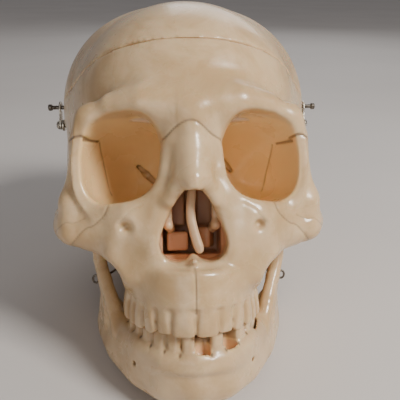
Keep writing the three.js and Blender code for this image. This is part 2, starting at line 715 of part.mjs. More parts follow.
function springScrew() {
  const { radius, head, length, way } = SPRING_SCREW;
  const turn = new THREE.Quaternion().setFromUnitVectors(
    new THREE.Vector3(0, 1, 0), vector(way).normalize());
  const profile = [
    [0, -1.2], [head - 0.3, -1.2], [head, -0.2], [radius, 0], [radius, length], [0, length + 1],
  ].map(([side, height]) => new THREE.Vector2(side, height));
  return new THREE.LatheGeometry(profile, 10).applyQuaternion(turn).translate(...SPRING_TOP);
}

// ---------- assembly ----------

const skull = new THREE.Group();

function add(name, geometry, material) {
  const mesh = new THREE.Mesh(geometry, material);
  mesh.name = name;
  skull.add(mesh);
}

function addPair(name, geometry, material) {
  add(`${name}_left`, geometry, material);
  add(`${name}_right`, mirrored(indexed(geometry)), material);
}

const outerSkin = solidOf(braincaseSkin(0));
const innerSkin = solidOf(braincaseSkin(WALL));
const liningSkin = solidOf(braincaseSkin(WALL + GAP));

add('cranium', geometryOf(cranium(outerSkin, innerSkin)), plastic(IVORY));
add('cranial_floor', geometryOf(cranialFloor(liningSkin)), plastic(CAVITY_TAN));
add('calvarium', geometryOf(calvarium(outerSkin, innerSkin)), plastic(IVORY));
add('mandible', geometryOf(mandible()), plastic(IVORY));
add('removable_molar', geometryOf(looseMolar()), plastic(TOOTH));
add('nasal_septum', septum(), plastic(CAVITY_TAN));
addPair('inferior_concha', concha(), plastic(CAVITY_TAN));
add('locating_peg_front', peg(wallMiddle(-1)), metal(NICKEL));
add('locating_peg_back', peg(wallMiddle(1)), metal(NICKEL));
addPair('latch_pin', latchPin(), metal(SPRING_STEEL));
addPair('latch_hook', latchHook(), metal(NICKEL));
addPair('latch_screw', latchScrew(), metal(NICKEL));
addPair('latch_washer', latchWasher(), metal(NICKEL));
addPair('jaw_spring', jawSpring(), metal(SPRING_STEEL));
addPair('spring_screw', springScrew(), metal(NICKEL));

// Lean the skull back, then stand it on the table with the origin under its middle.
const model = new THREE.Group();
model.add(skull);
skull.rotation.x = -LEAN;
model.updateMatrixWorld(true);
const bounds = new THREE.Box3().setFromObject(model, true);
const middle = bounds.getCenter(new THREE.Vector3());
skull.position.set(-middle.x, -middle.y, -bounds.min.z);

export default model;
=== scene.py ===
"""A life-size plastic skull model: glossy ivory moulding, tan hollows partly from painted shade, steel
latches and springs.
"""
import json
import math
import bpy
import numpy as np
from mathutils import Matrix, Vector


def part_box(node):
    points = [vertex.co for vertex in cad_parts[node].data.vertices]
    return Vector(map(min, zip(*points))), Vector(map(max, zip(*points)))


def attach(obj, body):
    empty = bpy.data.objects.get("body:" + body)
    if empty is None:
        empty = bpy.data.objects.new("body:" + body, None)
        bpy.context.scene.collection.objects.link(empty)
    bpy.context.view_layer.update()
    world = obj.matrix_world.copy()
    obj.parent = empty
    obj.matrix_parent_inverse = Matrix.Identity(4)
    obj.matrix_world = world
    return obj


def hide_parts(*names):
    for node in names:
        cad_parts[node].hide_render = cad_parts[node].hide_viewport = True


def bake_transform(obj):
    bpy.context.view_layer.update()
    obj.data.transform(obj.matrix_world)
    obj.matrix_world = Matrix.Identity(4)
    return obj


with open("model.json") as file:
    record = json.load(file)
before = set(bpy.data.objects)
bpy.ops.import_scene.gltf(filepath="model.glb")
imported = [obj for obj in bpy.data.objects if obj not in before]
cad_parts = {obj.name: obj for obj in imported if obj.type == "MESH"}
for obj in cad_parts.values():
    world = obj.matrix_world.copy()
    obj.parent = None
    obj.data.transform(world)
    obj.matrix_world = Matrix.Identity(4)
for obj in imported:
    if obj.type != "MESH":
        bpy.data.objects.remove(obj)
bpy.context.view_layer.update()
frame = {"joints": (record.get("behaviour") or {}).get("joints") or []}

# ---------- the skull's own upright frame, in millimetres ----------
# The face looks along -Y, and the origin lies between the ear openings.
# The whole skull leans back, so this frame is turned and moved onto the model's frame.

LEAN = math.radians(25)
CUT_ANGLE = math.radians(7.5)
HINGE_IN_SKULL = (0.0, -12.0, -6.0)
TURN = np.array(Matrix.Rotation(-LEAN, 3, "X"))
JOINTS = {joint["name"]: joint for joint in frame["joints"]}
HINGE = np.array(JOINTS["jaw_hinge"]["pos_m"]) * 1000
SHIFT = np.array([0.0, HINGE[1], HINGE[2]]) - TURN @ np.array(HINGE_IN_SKULL)
FINE = 1.0
MIRRORED = np.array([-1, 1, 1])


def placed(points):
    """Points of the skull's frame, in the model's metres."""
    return (np.asarray(points) @ TURN.T + SHIFT) / 1000


# ---------- distance shapes: (distance function, low corner, high corner) ----------

def rounded(sides, rounding):
    """Distance to where several half spaces meet, with rounded corners."""
    sides = [side + rounding for side in sides]
    outside = np.sqrt(sum(np.maximum(side, 0) ** 2 for side in sides))
    deepest = sides[0]
    for side in sides[1:]:
        deepest = np.maximum(deepest, side)
    return outside + np.minimum(deepest, 0) - rounding


def ball(centre, radii):
    c, r = np.array(centre, float), np.array(radii, float) * np.ones(3)

    def distance(x, y, z):
        p = (x - c[0]) / r[0], (y - c[1]) / r[1], (z - c[2]) / r[2]
        near = np.sqrt(p[0] ** 2 + p[1] ** 2 + p[2] ** 2)
        far = np.sqrt((p[0] / r[0]) ** 2 + (p[1] / r[1]) ** 2 + (p[2] / r[2]) ** 2)
        return near * (near - 1) / np.maximum(far, 1e-6)
    return distance, c - r, c + r


def bar(start, end, r_start, r_end=None, squeeze=(1, 1, 1)):
    """A round bar whose radius runs from r_start to r_end; squeeze flattens it."""
    s = np.array(squeeze, float)
    a, b = np.array(start, float) * s, np.array(end, float) * s
    r_end = r_start if r_end is None else r_end
    along = b - a
    length = float(along @ along) or 1.0

    def distance(x, y, z):
        px, py, pz = x * s[0] - a[0], y * s[1] - a[1], z * s[2] - a[2]
        t = np.clip((px * along[0] + py * along[1] + pz * along[2]) / length, 0, 1)
        gap = np.sqrt((px - t * along[0]) ** 2 + (py - t * along[1]) ** 2 + (pz - t * along[2]) ** 2)
        return (gap - (r_start + t * (r_end - r_start))) / s.max()
    reach = max(r_start, r_end) / s
    low = np.minimum(a, b) / s - reach
    high = np.maximum(a, b) / s + reach
    return distance, low, high


def block(centre, half, rounding=1.0, turn=0.0, lean=0.0):
    """A rounded box, turned about Z and then leaned about X."""
    c, h = np.array(centre, float), np.array(half, float)
    spin = np.array(Matrix.Rotation(turn, 3, "Z") @ Matrix.Rotation(lean, 3, "X")).T

    def distance(x, y, z):
        px, py, pz = x - c[0], y - c[1], z - c[2]
        return rounded([np.abs(row[0] * px + row[1] * py + row[2] * pz) - size
                        for row, size in zip(spin, h)], rounding)
    reach = float(np.linalg.norm(h))
    return distance, c - reach, c + reach


def mirror(shape):
    distance, low, high = shape
    corners = low * MIRRORED, high * MIRRORED
    return (lambda x, y, z: distance(-x, y, z)), np.minimum(*corners), np.maximum(*corners)


def both(shape):
    return [shape, mirror(shape)]


def soft_min(a, b, blend):
    if not blend:
        return np.minimum(a, b)
    h = np.maximum(blend - np.abs(a - b), 0) / blend
    return np.minimum(a, b) - h * h * blend * 0.25


def group(shapes, blend):
    """Several shapes run together softly."""
    def distance(x, y, z):
        total = shapes[0][0](x, y, z)
        for shape in shapes[1:]:
            total = soft_min(total, shape[0](x, y, z), blend)
        return total
    lows, highs = [shape[1] for shape in shapes], [shape[2] for shape in shapes]
    return distance, np.min(lows, axis=0), np.max(highs, axis=0)


def chain(points, radii, squeeze=(1, 1, 1), blend=1.0):
    """Bars from point to point, as one bent bar."""
    return group([bar(points[i], points[i + 1], radii[i], radii[i + 1], squeeze)
                  for i in range(len(points) - 1)], blend)


def outline_distance(points, u, v):
    """Distance to a closed outline, below zero inside it."""
    u, v = np.broadcast_arrays(u, v)
    best = np.full(u.shape, 1e9)
    inside = np.zeros(u.shape, bool)
    for a, b in zip(points, np.roll(points, -1, axis=0)):
        e = b - a
        t = np.clip(((u - a[0]) * e[0] + (v - a[1]) * e[1]) / (e @ e), 0, 1)
        best = np.minimum(best, (u - a[0] - t * e[0]) ** 2 + (v - a[1] - t * e[1]) ** 2)
        if e[1]:
            inside ^= ((a[1] > v) != (b[1] > v)) & (u < a[0] + (v - a[1]) / e[1] * e[0])
    return np.where(inside, -1, 1) * np.sqrt(best)


def plate(outline, middle, half, rounding=2.0, along="x", flare=0.0, pivot=0.0, lean=0.0, level=0.0):
    """A flat plate with an outline in the YZ plane, or in the XZ plane if it runs along Y.
    It can flare along Y about a pivot, and lean outwards above a level."""
    pts = np.array(outline, float)

    def distance(x, y, z):
        across, through = x, y
        if along == "x":
            across, through = y, x - flare * (y - pivot) - lean * (z - level)
        return rounded([outline_distance(pts, across, z), np.abs(through - middle) - half], rounding)
    low, high = pts.min(axis=0), pts.max(axis=0)
    side = 0 if along == "x" else 1
    reach = half + abs(flare) * (high[0] - low[0]) / 2 + abs(lean) * (high[1] - low[1]) / 2
    return distance, np.insert(low, side, middle - reach), np.insert(high, side, middle + reach)


# ---------- clay: a block of space that shapes are added to and carved from ----------

class Clay:
    REACH = 9.0  # how far around a shape the distances are kept true

    def __init__(self, xs, ys, zs):
        self.axes = [np.asarray(a, np.float32) for a in (xs, ys, zs)]
        self.d = np.full([len(a) for a in self.axes], 40.0, np.float32)

    def _block(self, low, high):
        spans = [slice(*np.searchsorted(a, (lo - self.REACH, hi + self.REACH)))
                 for a, lo, hi in zip(self.axes, low, high)]
        parts = [a[s] for a, s in zip(self.axes, spans)]
        return tuple(spans), *np.meshgrid(*parts, indexing="ij", sparse=True)

    def add(self, shape, blend=0.0):
        spans, x, y, z = self._block(shape[1], shape[2])
        if self.d[spans].size:
            self.d[spans] = soft_min(self.d[spans], shape[0](x, y, z), blend)

    def carve(self, shape, blend=0.0):
        spans, x, y, z = self._block(shape[1], shape[2])
        if self.d[spans].size:
            self.d[spans] = -soft_min(-self.d[spans], shape[0](x, y, z), blend)

    def keep(self, distance, blend=0.0):
        """Keeps only what lies inside a distance function that reaches everywhere."""
        x, y, z = np.meshgrid(*self.axes, indexing="ij", sparse=True)
        self.d = -soft_min(-self.d, -distance(x, y, z), blend).astype(np.float32)

    def add_pair(self, shape, blend=0.0):
        for side in both(shape):
            self.add(side, blend)

    def carve_pair(self, shape, blend=0.0):
        for side in both(shape):
            self.carve(side, blend)

    def sample(self, points):
        """The distance at points, between grid corners."""
        cells, parts = [], []
        for i, axis in enumerate(self.axes):
            u = np.interp(points[:, i], axis, np.arange(len(axis)))
            cell = np.minimum(u.astype(int), len(axis) - 2)
            cells.append(cell)
            parts.append(u - cell)
        total = np.zeros(len(points))
        for corner in np.ndindex(2, 2, 2):
            share = np.ones(len(points))
            for part, bit in zip(parts, corner):
                share = share * (part if bit else 1 - part)
            total += share * self.d[tuple(cell + bit for cell, bit in zip(cells, corner))]
        return total

    def skin(self):
        """Surface nets: one corner per cell that the surface crosses, and a quad per crossed edge."""
        inside = self.d < 0
        n = inside.shape
        count = np.zeros([k - 1 for k in n], np.int8)
        corners = list(np.ndindex(2, 2, 2))
        for c in corners:
            count += inside[tuple(slice(b, k - 1 + b) for b, k in zip(c, n))]
        cells = np.argwhere((count > 0) & (count < 8))
        number = np.full(count.shape, -1, np.int32)
        number[tuple(cells.T)] = np.arange(len(cells))
        total, hits = np.zeros((len(cells), 3)), np.zeros(len(cells))
        values = {c: self.d[tuple((cells + c).T)] for c in corners}
        for a in corners:
            for axis in range(3):
                if a[axis]:
                    continue
                b = tuple(v + (i == axis) for i, v in enumerate(a))
                da, db = values[a], values[b]
                crossed = (da < 0) != (db < 0)
                t = np.where(crossed, da / np.where(crossed, da - db, 1), 0)
                total += np.where(crossed[:, None], np.array(a) + t[:, None] * (np.array(b) - a), 0)
                hits += crossed
        grid = cells + total / hits[:, None]
        points = np.stack([np.interp(grid[:, i], np.arange(len(a)), a)
                           for i, a in enumerate(self.axes)], axis=1)
        quads = []
        for axis in range(3):
            u, v = (axis + 1) % 3, (axis + 2) % 3
            low = [slice(1, k - 1) for k in n]
            high = list(low)
            low[axis], high[axis] = slice(0, n[axis] - 1), slice(1, n[axis])
            here, there = inside[tuple(low)], inside[tuple(high)]
            edge = np.argwhere(here != there)
            start = edge + [0 if i == axis else 1 for i in range(3)]
            outward = here[tuple(edge.T)]
            ring = []
            for du, dv in ((1, 1), (0, 1), (0, 0), (1, 0)):
                cell = start.copy()
                cell[:, u] -= du
                cell[:, v] -= dv
                ring.append(number[tuple(cell.T)])
            quad = np.stack(ring, axis=1)
            quads.append(np.where(outward[:, None], quad, quad[:, ::-1]))
        return points, np.concatenate(quads)


def steps(low, high, size):
    return np.arange(low, high + size, size * FINE)


def graded(*spans):
    """Grid lines: (from, to, step) spans joined end to end."""
    return np.concatenate([np.arange(lo, hi - 1e-6, step * FINE) for lo, hi, step in spans]
                          + [[spans[-1][1]]])


def neighbours_mean(points, quads):
    total, hits = np.zeros_like(points), np.zeros(len(points))
    for i in range(4):
        a, b = quads[:, i], quads[:, (i + 1) % 4]
        for here, there in ((a, b), (b, a)):
            for k in range(3):
                total[:, k] += np.bincount(here, points[there, k], len(points))
            hits += np.bincount(here, minlength=len(points))
    return total / np.maximum(hits, 1)[:, None]


def relaxed(points, quads, rounds=2):
    """Evens out the grid's small steps without shrinking the shape."""
    for _ in range(rounds):
        points = points + 0.5 * (neighbours_mean(points, quads) - points)
        points = points - 0.52 * (neighbours_mean(points, quads) - points)
    return points


def corner_normals(points, quads):
    face = np.cross(points[quads[:, 2]] - points[quads[:, 0]], points[quads[:, 3]] - points[quads[:, 1]])
    total = np.zeros_like(points)
    for i in range(4):
        for k in range(3):
            total[:, k] += np.bincount(quads[:, i], face[:, k], len(points))
    return total / np.maximum(np.linalg.norm(total, axis=1), 1e-9)[:, None]


def away_from_line(points, line):
    """Each point's distance to a bent line."""
    best = np.full(len(points), 1e9)
    for a, b in zip(line[:-1], line[1:]):
        e = b - a
        t = np.clip((points - a) @ e / max(e @ e, 1e-9), 0, 1)
        best = np.minimum(best, np.linalg.norm(points - a - t[:, None] * e, axis=1))
    return best


def smooth_line(points, count=40):
    """A Catmull-Rom line through a few points."""
    p = np.array(points, float)
    p = np.vstack([2 * p[0] - p[1], p, 2 * p[-1] - p[-2]])
    out = []
    for i in range(1, len(p) - 2):
        for t in np.linspace(0, 1, count, endpoint=False):
            out.append(0.5 * ((2 * p[i]) + (p[i + 1] - p[i - 1]) * t
                              + (2 * p[i - 1] - 5 * p[i] + 4 * p[i + 1] - p[i + 2]) * t ** 2
                              + (3 * p[i] - p[i - 1] - 3 * p[i + 1] + p[i + 2]) * t ** 3))
    return np.array(out + [p[-2]])


def groove(points, normals, line, depth, width):
    """Sinks the points near a line, and says how deep in the groove each lies, from 0 to 1."""
    near = np.exp(-(away_from_line(points, line) / width) ** 2)
    return points - normals * (depth * near)[:, None], near


def painted_hollow_shade(clay, points, normals):
    """How hemmed in each point is, from 0 in the open to 1 deep in a hollow: the amount of painted shade
    that the materials lay in recesses.
    """
    total = np.zeros(len(points))
    for reach, share in ((3.0, 0.2), (7.0, 0.35), (14.0, 0.45)):
        free = clay.sample(points + normals * reach)
        total += share * np.clip(1 - free / reach, 0, 1.4)
    return np.clip(total, 0, 1)


# ---------- Blender pieces ----------

def in_scene(name, data):
    made = bpy.data.objects.new(name, data)
    bpy.context.scene.collection.objects.link(made)
    return made


def piece(name, points, faces, body, material, replaces=(), marks=None):
    """A visible piece; its marks are values per corner that the materials read."""
    mesh = bpy.data.meshes.new(name)
    mesh.from_pydata(placed(points).tolist(), [], faces if isinstance(faces, list) else faces.tolist())
    mesh.polygons.foreach_set("use_smooth", [True] * len(mesh.polygons))
    for key, values in (marks or {}).items():
        attribute = mesh.attributes.new(key, "FLOAT", "POINT")
        attribute.data.foreach_set("value", np.full(len(points), values, np.float32))
    mesh.update()
    made = in_scene(name, mesh)
    mesh.materials.append(material)
    if body:
        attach(made, body)
    if replaces:
        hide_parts(*replaces)
    return made


def drawn(points, normals, line, depth, width):
    """Like groove, but for a line drawn on the face as it is seen from in front."""
    near = np.exp(-(away_from_line(points[:, ::2], line[:, ::2]) / width) ** 2)
    level = np.interp(points[:, 0], np.sort(line[:, 0]), line[np.argsort(line[:, 0]), 1])
    near = near * (normals[:, 1] < -0.15) * (np.abs(points[:, 1] - level) < 12)
    return points - normals * (depth * near)[:, None], near


def moulded(name, clay, body, material, replaces, lines=(), rounds=2, drawings=(), warm=None):
    """Turns clay into a piece, with grooves drawn along lines: (points, depth, width)."""
    points, quads = clay.skin()
    points = relaxed(points, quads, rounds)
    normals = corner_normals(points, quads)
    # The hollow mark is painted shade: occlusion that the materials turn into a tan tint.
    hollow = painted_hollow_shade(clay, points, normals)
    seam = np.zeros(len(points))
    tint = warm(points, normals) if warm else seam
    for line, depth, width in lines:
        points, near = groove(points, normals, line, depth, width)
        seam = np.maximum(seam, near * min(1, depth / 0.35))
    for line, depth, width in drawings:
        points, near = drawn(points, normals, line, depth, width)
        seam = np.maximum(seam, near * min(1, depth / 0.45))
    piece(name, points, quads, body, material, replaces,
          {"hollow": hollow, "seam": seam, "warm": tint})


def on_both_sides(name, clay, body_of, material, node, marks=None):
    """Turns clay into a piece for the skull's left side and its mirror image for the right."""
    points, quads = clay.skin()
    points = relaxed(points, quads)
    for word, here, faces in (("left", points, quads), ("right", points * MIRRORED, quads[:, ::-1])):
        piece(f"{name}_{word}", here, faces, body_of(word), material, [f"{node}_{word}"], marks)


# ---------- materials ----------

class Nodes:
    """A short way to write a material's node tree."""

    def __init__(self, name):
        self.material = bpy.data.materials.new(name)
        self.material.use_nodes = True
        self.tree = self.material.node_tree
        self.tree.nodes.clear()
        self.shader = self.tree.nodes.new("ShaderNodeBsdfPrincipled")
        output = self.tree.nodes.new("ShaderNodeOutputMaterial")
        self.join(self.shader.outputs[0], output.inputs[0])
        coordinates = self.tree.nodes.new("ShaderNodeTexCoord")
        self.place = coordinates.outputs["Object"]

    def join(self, source, target):
        self.tree.links.new(source, target)

    def give(self, target, value):
        if isinstance(value, bpy.types.NodeSocket):
            self.join(value, target)
        else:
            target.default_value = value

    def noise(self, scale, detail=4.0, roughness=0.5, distortion=0.0):
        node = self.tree.nodes.new("ShaderNodeTexNoise")
        for key, value in (("Scale", scale), ("Detail", detail), ("Roughness", roughness),
                           ("Distortion", distortion)):
            node.inputs[key].default_value = value
        self.join(self.place, node.inputs["Vector"])
        return node.outputs["Fac"]

    def spots(self, scale):
        node = self.tree.nodes.new("ShaderNodeTexVoronoi")
        node.inputs["Scale"].default_value = scale
        self.join(self.place, node.inputs["Vector"])
        return node.outputs["Distance"]

    def mark(self, name):
        node = self.tree.nodes.new("ShaderNodeAttribute")
        node.attribute_name = name
        return node.outputs["Fac"]

    def fit(self, value, low, high, to_low=0.0, to_high=1.0):
        node = self.tree.nodes.new("ShaderNodeMapRange")
        node.interpolation_type = "SMOOTHSTEP"
        for key, item in (("Value", value), ("From Min", low), ("From Max", high),
                          ("To Min", to_low), ("To Max", to_high)):
            self.give(node.inputs[key], item)
        return node.outputs["Result"]

    def sum(self, kind, a, b):
        node = self.tree.nodes.new("ShaderNodeMath")
        node.operation = kind
        self.give(node.inputs[0], a)
        self.give(node.inputs[1], b)
        return node.outputs[0]

    def mix(self, share, a, b):
        node = self.tree.nodes.new("ShaderNodeMix")
        node.data_type = "RGBA"
        self.give(node.inputs["Factor"], share)
        for socket, colour in ((node.inputs[6], a), (node.inputs[7], b)):
            self.give(socket, colour if isinstance(colour, bpy.types.NodeSocket) else (*colour, 1.0))
        return node.outputs[2]

    def bump(self, height, strength, distance, under=None):
        node = self.tree.nodes.new("ShaderNodeBump")
        node.inputs["Strength"].default_value = strength
        node.inputs["Distance"].default_value = distance
        self.join(height, node.inputs["Height"])
        if under is not None:
            self.join(under, node.inputs["Normal"])
        return node.outputs["Normal"]

    def finish(self, colour, roughness, normal=None, **flat):
        self.give(self.shader.inputs["Base Color"],
                  colour if isinstance(colour, bpy.types.NodeSocket) else (*colour, 1.0))
        self.give(self.shader.inputs["Roughness"], roughness)
        if normal is not None:
            self.join(normal, self.shader.inputs["Normal"])
        for key, value in flat.items():
            self.shader.inputs[key.replace("_", " ")].default_value = value
        return self.material


IVORY = (0.56, 0.37, 0.185)
CREAM = (0.715, 0.52, 0.305)
TAN = (0.45, 0.285, 0.135)
SOCKET_TAN = (0.86, 0.60, 0.30)
NOSE_BROWN = (0.80, 0.46, 0.28)
STAIN = (0.33, 0.18, 0.08)
SEAM = (0.13, 0.075, 0.04)


def bone_material(name="bone_plastic", painted_shade_from=0.34, painted_shade_to=0.74, light=CREAM, base=IVORY):
    """Glossy ivory plastic, mottled, with painted shade tinting its hollows tan, brown specks and dark
    seams.
    """
    n = Nodes(name)
    clouds = n.noise(38.0, 5.0, 0.6, 0.5)
    grain = n.noise(330.0, 4.0, 0.6)
    colour = n.mix(n.fit(clouds, 0.34, 0.62), base, light)
    colour = n.mix(n.fit(n.noise(19.0, 4.0, 0.55), 0.50, 0.70, 0.0, 0.30), colour, TAN)
    # Painted shade: the occlusion mark (hollow) tints the recesses tan; warm here holds that painted shade
    # amount.
    hollow = n.sum("ADD", n.mark("hollow"), n.fit(grain, 0.3, 0.7, -0.05, 0.05))
    warm = n.fit(hollow, painted_shade_from, painted_shade_to, 0.0, 0.8)
    colour = n.mix(warm, colour, TAN)
    colour = n.mix(n.fit(n.mark("warm"), 0.0, 1.0, 0.0, 0.9), colour, SOCKET_TAN)
    colour = n.mix(n.fit(n.mark("warm"), 1.05, 1.5, 0.0, 0.85), colour, NOSE_BROWN)
    specks = n.sum("MULTIPLY", n.fit(n.spots(90.0), 0.10, 0.05),
                   n.fit(n.noise(14.0, 2.0), 0.56, 0.66))
    stains = n.sum("MULTIPLY", n.fit(n.noise(31.0, 4.0, 0.6, 0.8), 0.66, 0.78), 0.45)
    colour = n.mix(n.sum("MULTIPLY", specks, 0.55), colour, STAIN)
    colour = n.mix(stains, colour, TAN)
    colour = n.mix(n.fit(n.mark("seam"), 0.25, 0.95, 0.0, 0.8), colour, SEAM)
    dull = n.sum("ADD", n.noise(45.0, 4.0), n.fit(warm, 0.0, 1.0, 0.0, 0.25))
    roughness = n.fit(dull, 0.3, 0.9, 0.24, 0.46)
    normal = n.bump(n.noise(75.0, 5.0, 0.55), 0.30, 0.0012)
    normal = n.bump(grain, 0.12, 0.0003, normal)
    return n.finish(colour, roughness, normal, Subsurface_Weight=0.12, Subsurface_Scale=0.004,
                    Coat_Weight=0.35, Coat_Roughness=0.16)


def tooth_material():
    n = Nodes("tooth_plastic")
    colour = n.mix(n.fit(n.noise(70.0, 4.0), 0.35, 0.7), CREAM, (0.70, 0.56, 0.38))
    # Painted shade: the teeth turn tan where the occlusion mark is high.
    colour = n.mix(n.fit(n.mark("hollow"), 0.35, 0.8), colour, TAN)
    return n.finish(colour, n.fit(n.noise(90.0), 0.3, 0.7, 0.18, 0.3),
                    n.bump(n.noise(240.0), 0.08, 0.0003), Coat_Weight=0.4, Coat_Roughness=0.1)


def steel_material(name, colour, dull, roughness):
    n = Nodes(name)
    worn = n.fit(n.noise(420.0, 5.0, 0.65), 0.42, 0.68)
    tone = n.mix(worn, colour, dull)
    return n.finish(tone, n.fit(worn, 0.0, 1.0, roughness, roughness + 0.25),
                    n.bump(n.noise(1500.0, 3.0), 0.12, 0.0001), Metallic=1.0)


BONE = bone_material()
# The lining's painted shade in its hollows starts at a lower occlusion value and spreads wider.
LINING = bone_material("cavity_plastic", 0.25, 0.9, (0.74, 0.52, 0.33), (0.66, 0.44, 0.26))
ENAMEL = tooth_material()
NICKEL = steel_material("nickel", (0.62, 0.58, 0.50), (0.30, 0.25, 0.19), 0.22)
DARK_STEEL = steel_material("dark_steel", (0.20, 0.18, 0.155), (0.10, 0.08, 0.06), 0.34)


# ---------- braincase ----------

WALL = 4.5
BRAINCASE = group([
    ball((0, 8, 50), (68, 80, 62)), ball((0, -36, 48), (53, 56, 49)),
    ball((22, 14, 62), (45, 60, 46)), ball((-22, 14, 62), (45, 60, 46)),
    ball((0, 46, 28), (54, 43, 48)), ball((0, 38, 0), (50, 42, 33.8)),
    ball((38, -10, 18), (27, 34, 30)), ball((-38, -10, 18), (27, 34, 30)),
], 10)


def inner_braincase(x, y, z):
    return BRAINCASE[0](x, y, z) + WALL


def cut_height(x, y, z):
    """How far a point is above the saw cut."""
    return (z - 55) * math.cos(CUT_ANGLE) + y * math.sin(CUT_ANGLE) + 0 * x


def above_table(x, y, z):
    """How far a point is above the table."""
    return -y * math.sin(LEAN) + z * math.cos(LEAN) + SHIFT[2] + 0 * x


def ramp(low, high, value):
    t = np.clip((value - low) / (high - low), 0, 1)
    return t * t * (3 - 2 * t)


def floor_height(x, y):
    """The floor inside the braincase: three steps, with the petrous ridges and the saddle."""
    side = np.abs(x)
    ridge = y - (-4 + 0.36 * side)
    to_back = ramp(0, 12, ridge)
    to_middle = ramp(-8, 4, y + 36 + 0.12 * side)
    hump = 11 * np.exp(-((ridge - 2) ** 2) / 40) * ramp(6, 14, side)
    saddle = 10 * np.exp(-(side ** 2) / 80) * (1 - to_back)
    sockets = 5 * np.exp(-((side - 26) ** 2) / 160 - ((y + 60) ** 2) / 300)
    middle = 5 + saddle + hump * (1 - to_back)
    behind = middle * (1 - to_back) + (-15 + hump) * to_back
    return (31.5 + sockets) * (1 - to_middle) + behind * to_middle


def foramen_magnum(grow):
    """The oval opening for the spine, running straight up through the floor."""
    middle, wide, long = 18, 14.5 + grow, 17.5 + grow

    def distance(x, y, z):
        return (np.sqrt((x / wide) ** 2 + ((y - middle) / long) ** 2) - 1) * wide + 0 * z
    return distance, np.array([-wide, middle - long, -55]), np.array([wide, middle + long, 8])


def eye_socket():
    """A rounded, leaning hollow that narrows toward the back."""
    def distance(x, y, z):
        t = np.clip((y + 84) / 40, -1, 1.2)
        depth = np.clip(t, 0, 1)
        size = np.sqrt(np.maximum(1 - depth ** 2.6, 0.0004))
        wide, high = 16.9 * size, 18.2 * size
        across = x - (30.2 - 8.2 * depth)
        up = z - (17.4 - 5 * depth) + 0.10 * across
        out = (np.abs(across / wide) ** 2.7 + np.abs(up / high) ** 2.7) ** (1 / 2.7)
        return (out - 1) * np.minimum(wide, high) * 0.8
    return distance, np.array([10, -112, -6]), np.array([52, -40, 40])


def socket_wall():
    """The bone around an eye socket, a little larger than its hollow."""
    distance, low, high = eye_socket()

    def wall(x, y, z):
        return np.maximum(distance(x, y, z) - 3.0, np.maximum(-80 - y, y + 41))
    return wall, low - 4, high + 4


NOSE_HALF = [(0, 3.8), (3.4, 3.0), (6.2, 0.2), (8.6, -4), (11.6, -10), (13.4, -15), (13.7, -18.5),
             (12.6, -22), (10, -24.6), (6.7, -25.4), (3.4, -24.6), (1.2, -22.6), (0, -22)]


def nasal_hollow():
    """Heart shaped in front, and a squarer passage behind."""
    outline = NOSE_HALF + [(-x, z) for x, z in NOSE_HALF[-2:0:-1]]
    front = plate(outline, -98, 22, 0.4, "y")
    passage = [(-11.5, 4), (11.5, 4), (12.6, -8), (12.6, -23.5), (-12.6, -23.5), (-12.6, -8)]
    return group([front, plate(passage, -58, 24, 2.5, "y")], 2)


# ---------- teeth ----------

UPPER = {"centre": -51.0, "half": 26.8, "deep": 45.2}
LOWER = {"centre": -48.0, "half": 25.6, "deep": 44.2}
# width along the arch, thickness, biting edge, neck, from the midline back
UPPER_TEETH = [(8.9, 6.4, -53.9, -43.2), (7.0, 5.8, -53.2, -43.8), (7.6, 7.4, -53.4, -42.6),
               (7.0, 8.6, -52.2, -43.0), (6.8, 8.6, -52.0, -43.0), (10.0, 10.2, -51.2, -43.2),
               (9.4, 10.0, -50.8, -43.4)]
LOWER_TEETH = [(5.4, 5.8, -51.8, -62.4), (5.9, 6.0, -51.9, -62.6), (6.8, 7.2, -52.6, -63.0),
               (7.0, 7.8, -52.7, -62.0), (7.2, 8.2, -52.5, -61.4), (11.0, 9.6, -51.6, -60.4),
               (10.4, 9.6, -51.1, -59.6)]
EMPTY_SOCKETS = (0, 2)
LOOSE_MOLAR = 5


def arch_place(arch, along):
    """Where a tooth stands on its arch, and which way it faces."""
    turn = np.linspace(0, math.pi / 2, 3000)
    x, y = arch["half"] * np.sin(turn), arch["centre"] - arch["deep"] * np.cos(turn)
    travelled = np.concatenate([[0], np.cumsum(np.hypot(np.diff(x), np.diff(y)))])
    i = int(np.argmin(np.abs(travelled - along)))
    facing = math.atan2(arch["deep"] * math.sin(turn[i]), arch["half"] * math.cos(turn[i]))
    return x[i], y[i], facing


def tooth_places(arch, teeth):
    along = 0.0
    for i, tooth in enumerate(teeth):
        x, y, facing = arch_place(arch, along + tooth[0] / 2)
        yield i, tooth, x, y, facing
        along += tooth[0]


def tooth_lines(arch, teeth):
    """The thin dark line between each two teeth, on both sides."""
    lines, along = [], 0.0
    for tooth, following in zip(teeth, teeth[1:]):
        along += tooth[0]
        x, y, facing = arch_place(arch, along)
        out = np.array([math.sin(facing), -math.cos(facing)]) * (tooth[1] + following[1]) / 4
        neck, edge = (tooth[3] + following[3]) / 2, (tooth[2] + following[2]) / 2
        line = np.array([(x + out[0], y + out[1], z) for z in np.linspace(neck, edge, 12)])
        lines += [(line, 0.35, 0.8), (line * MIRRORED, 0.35, 0.8)]
    return lines


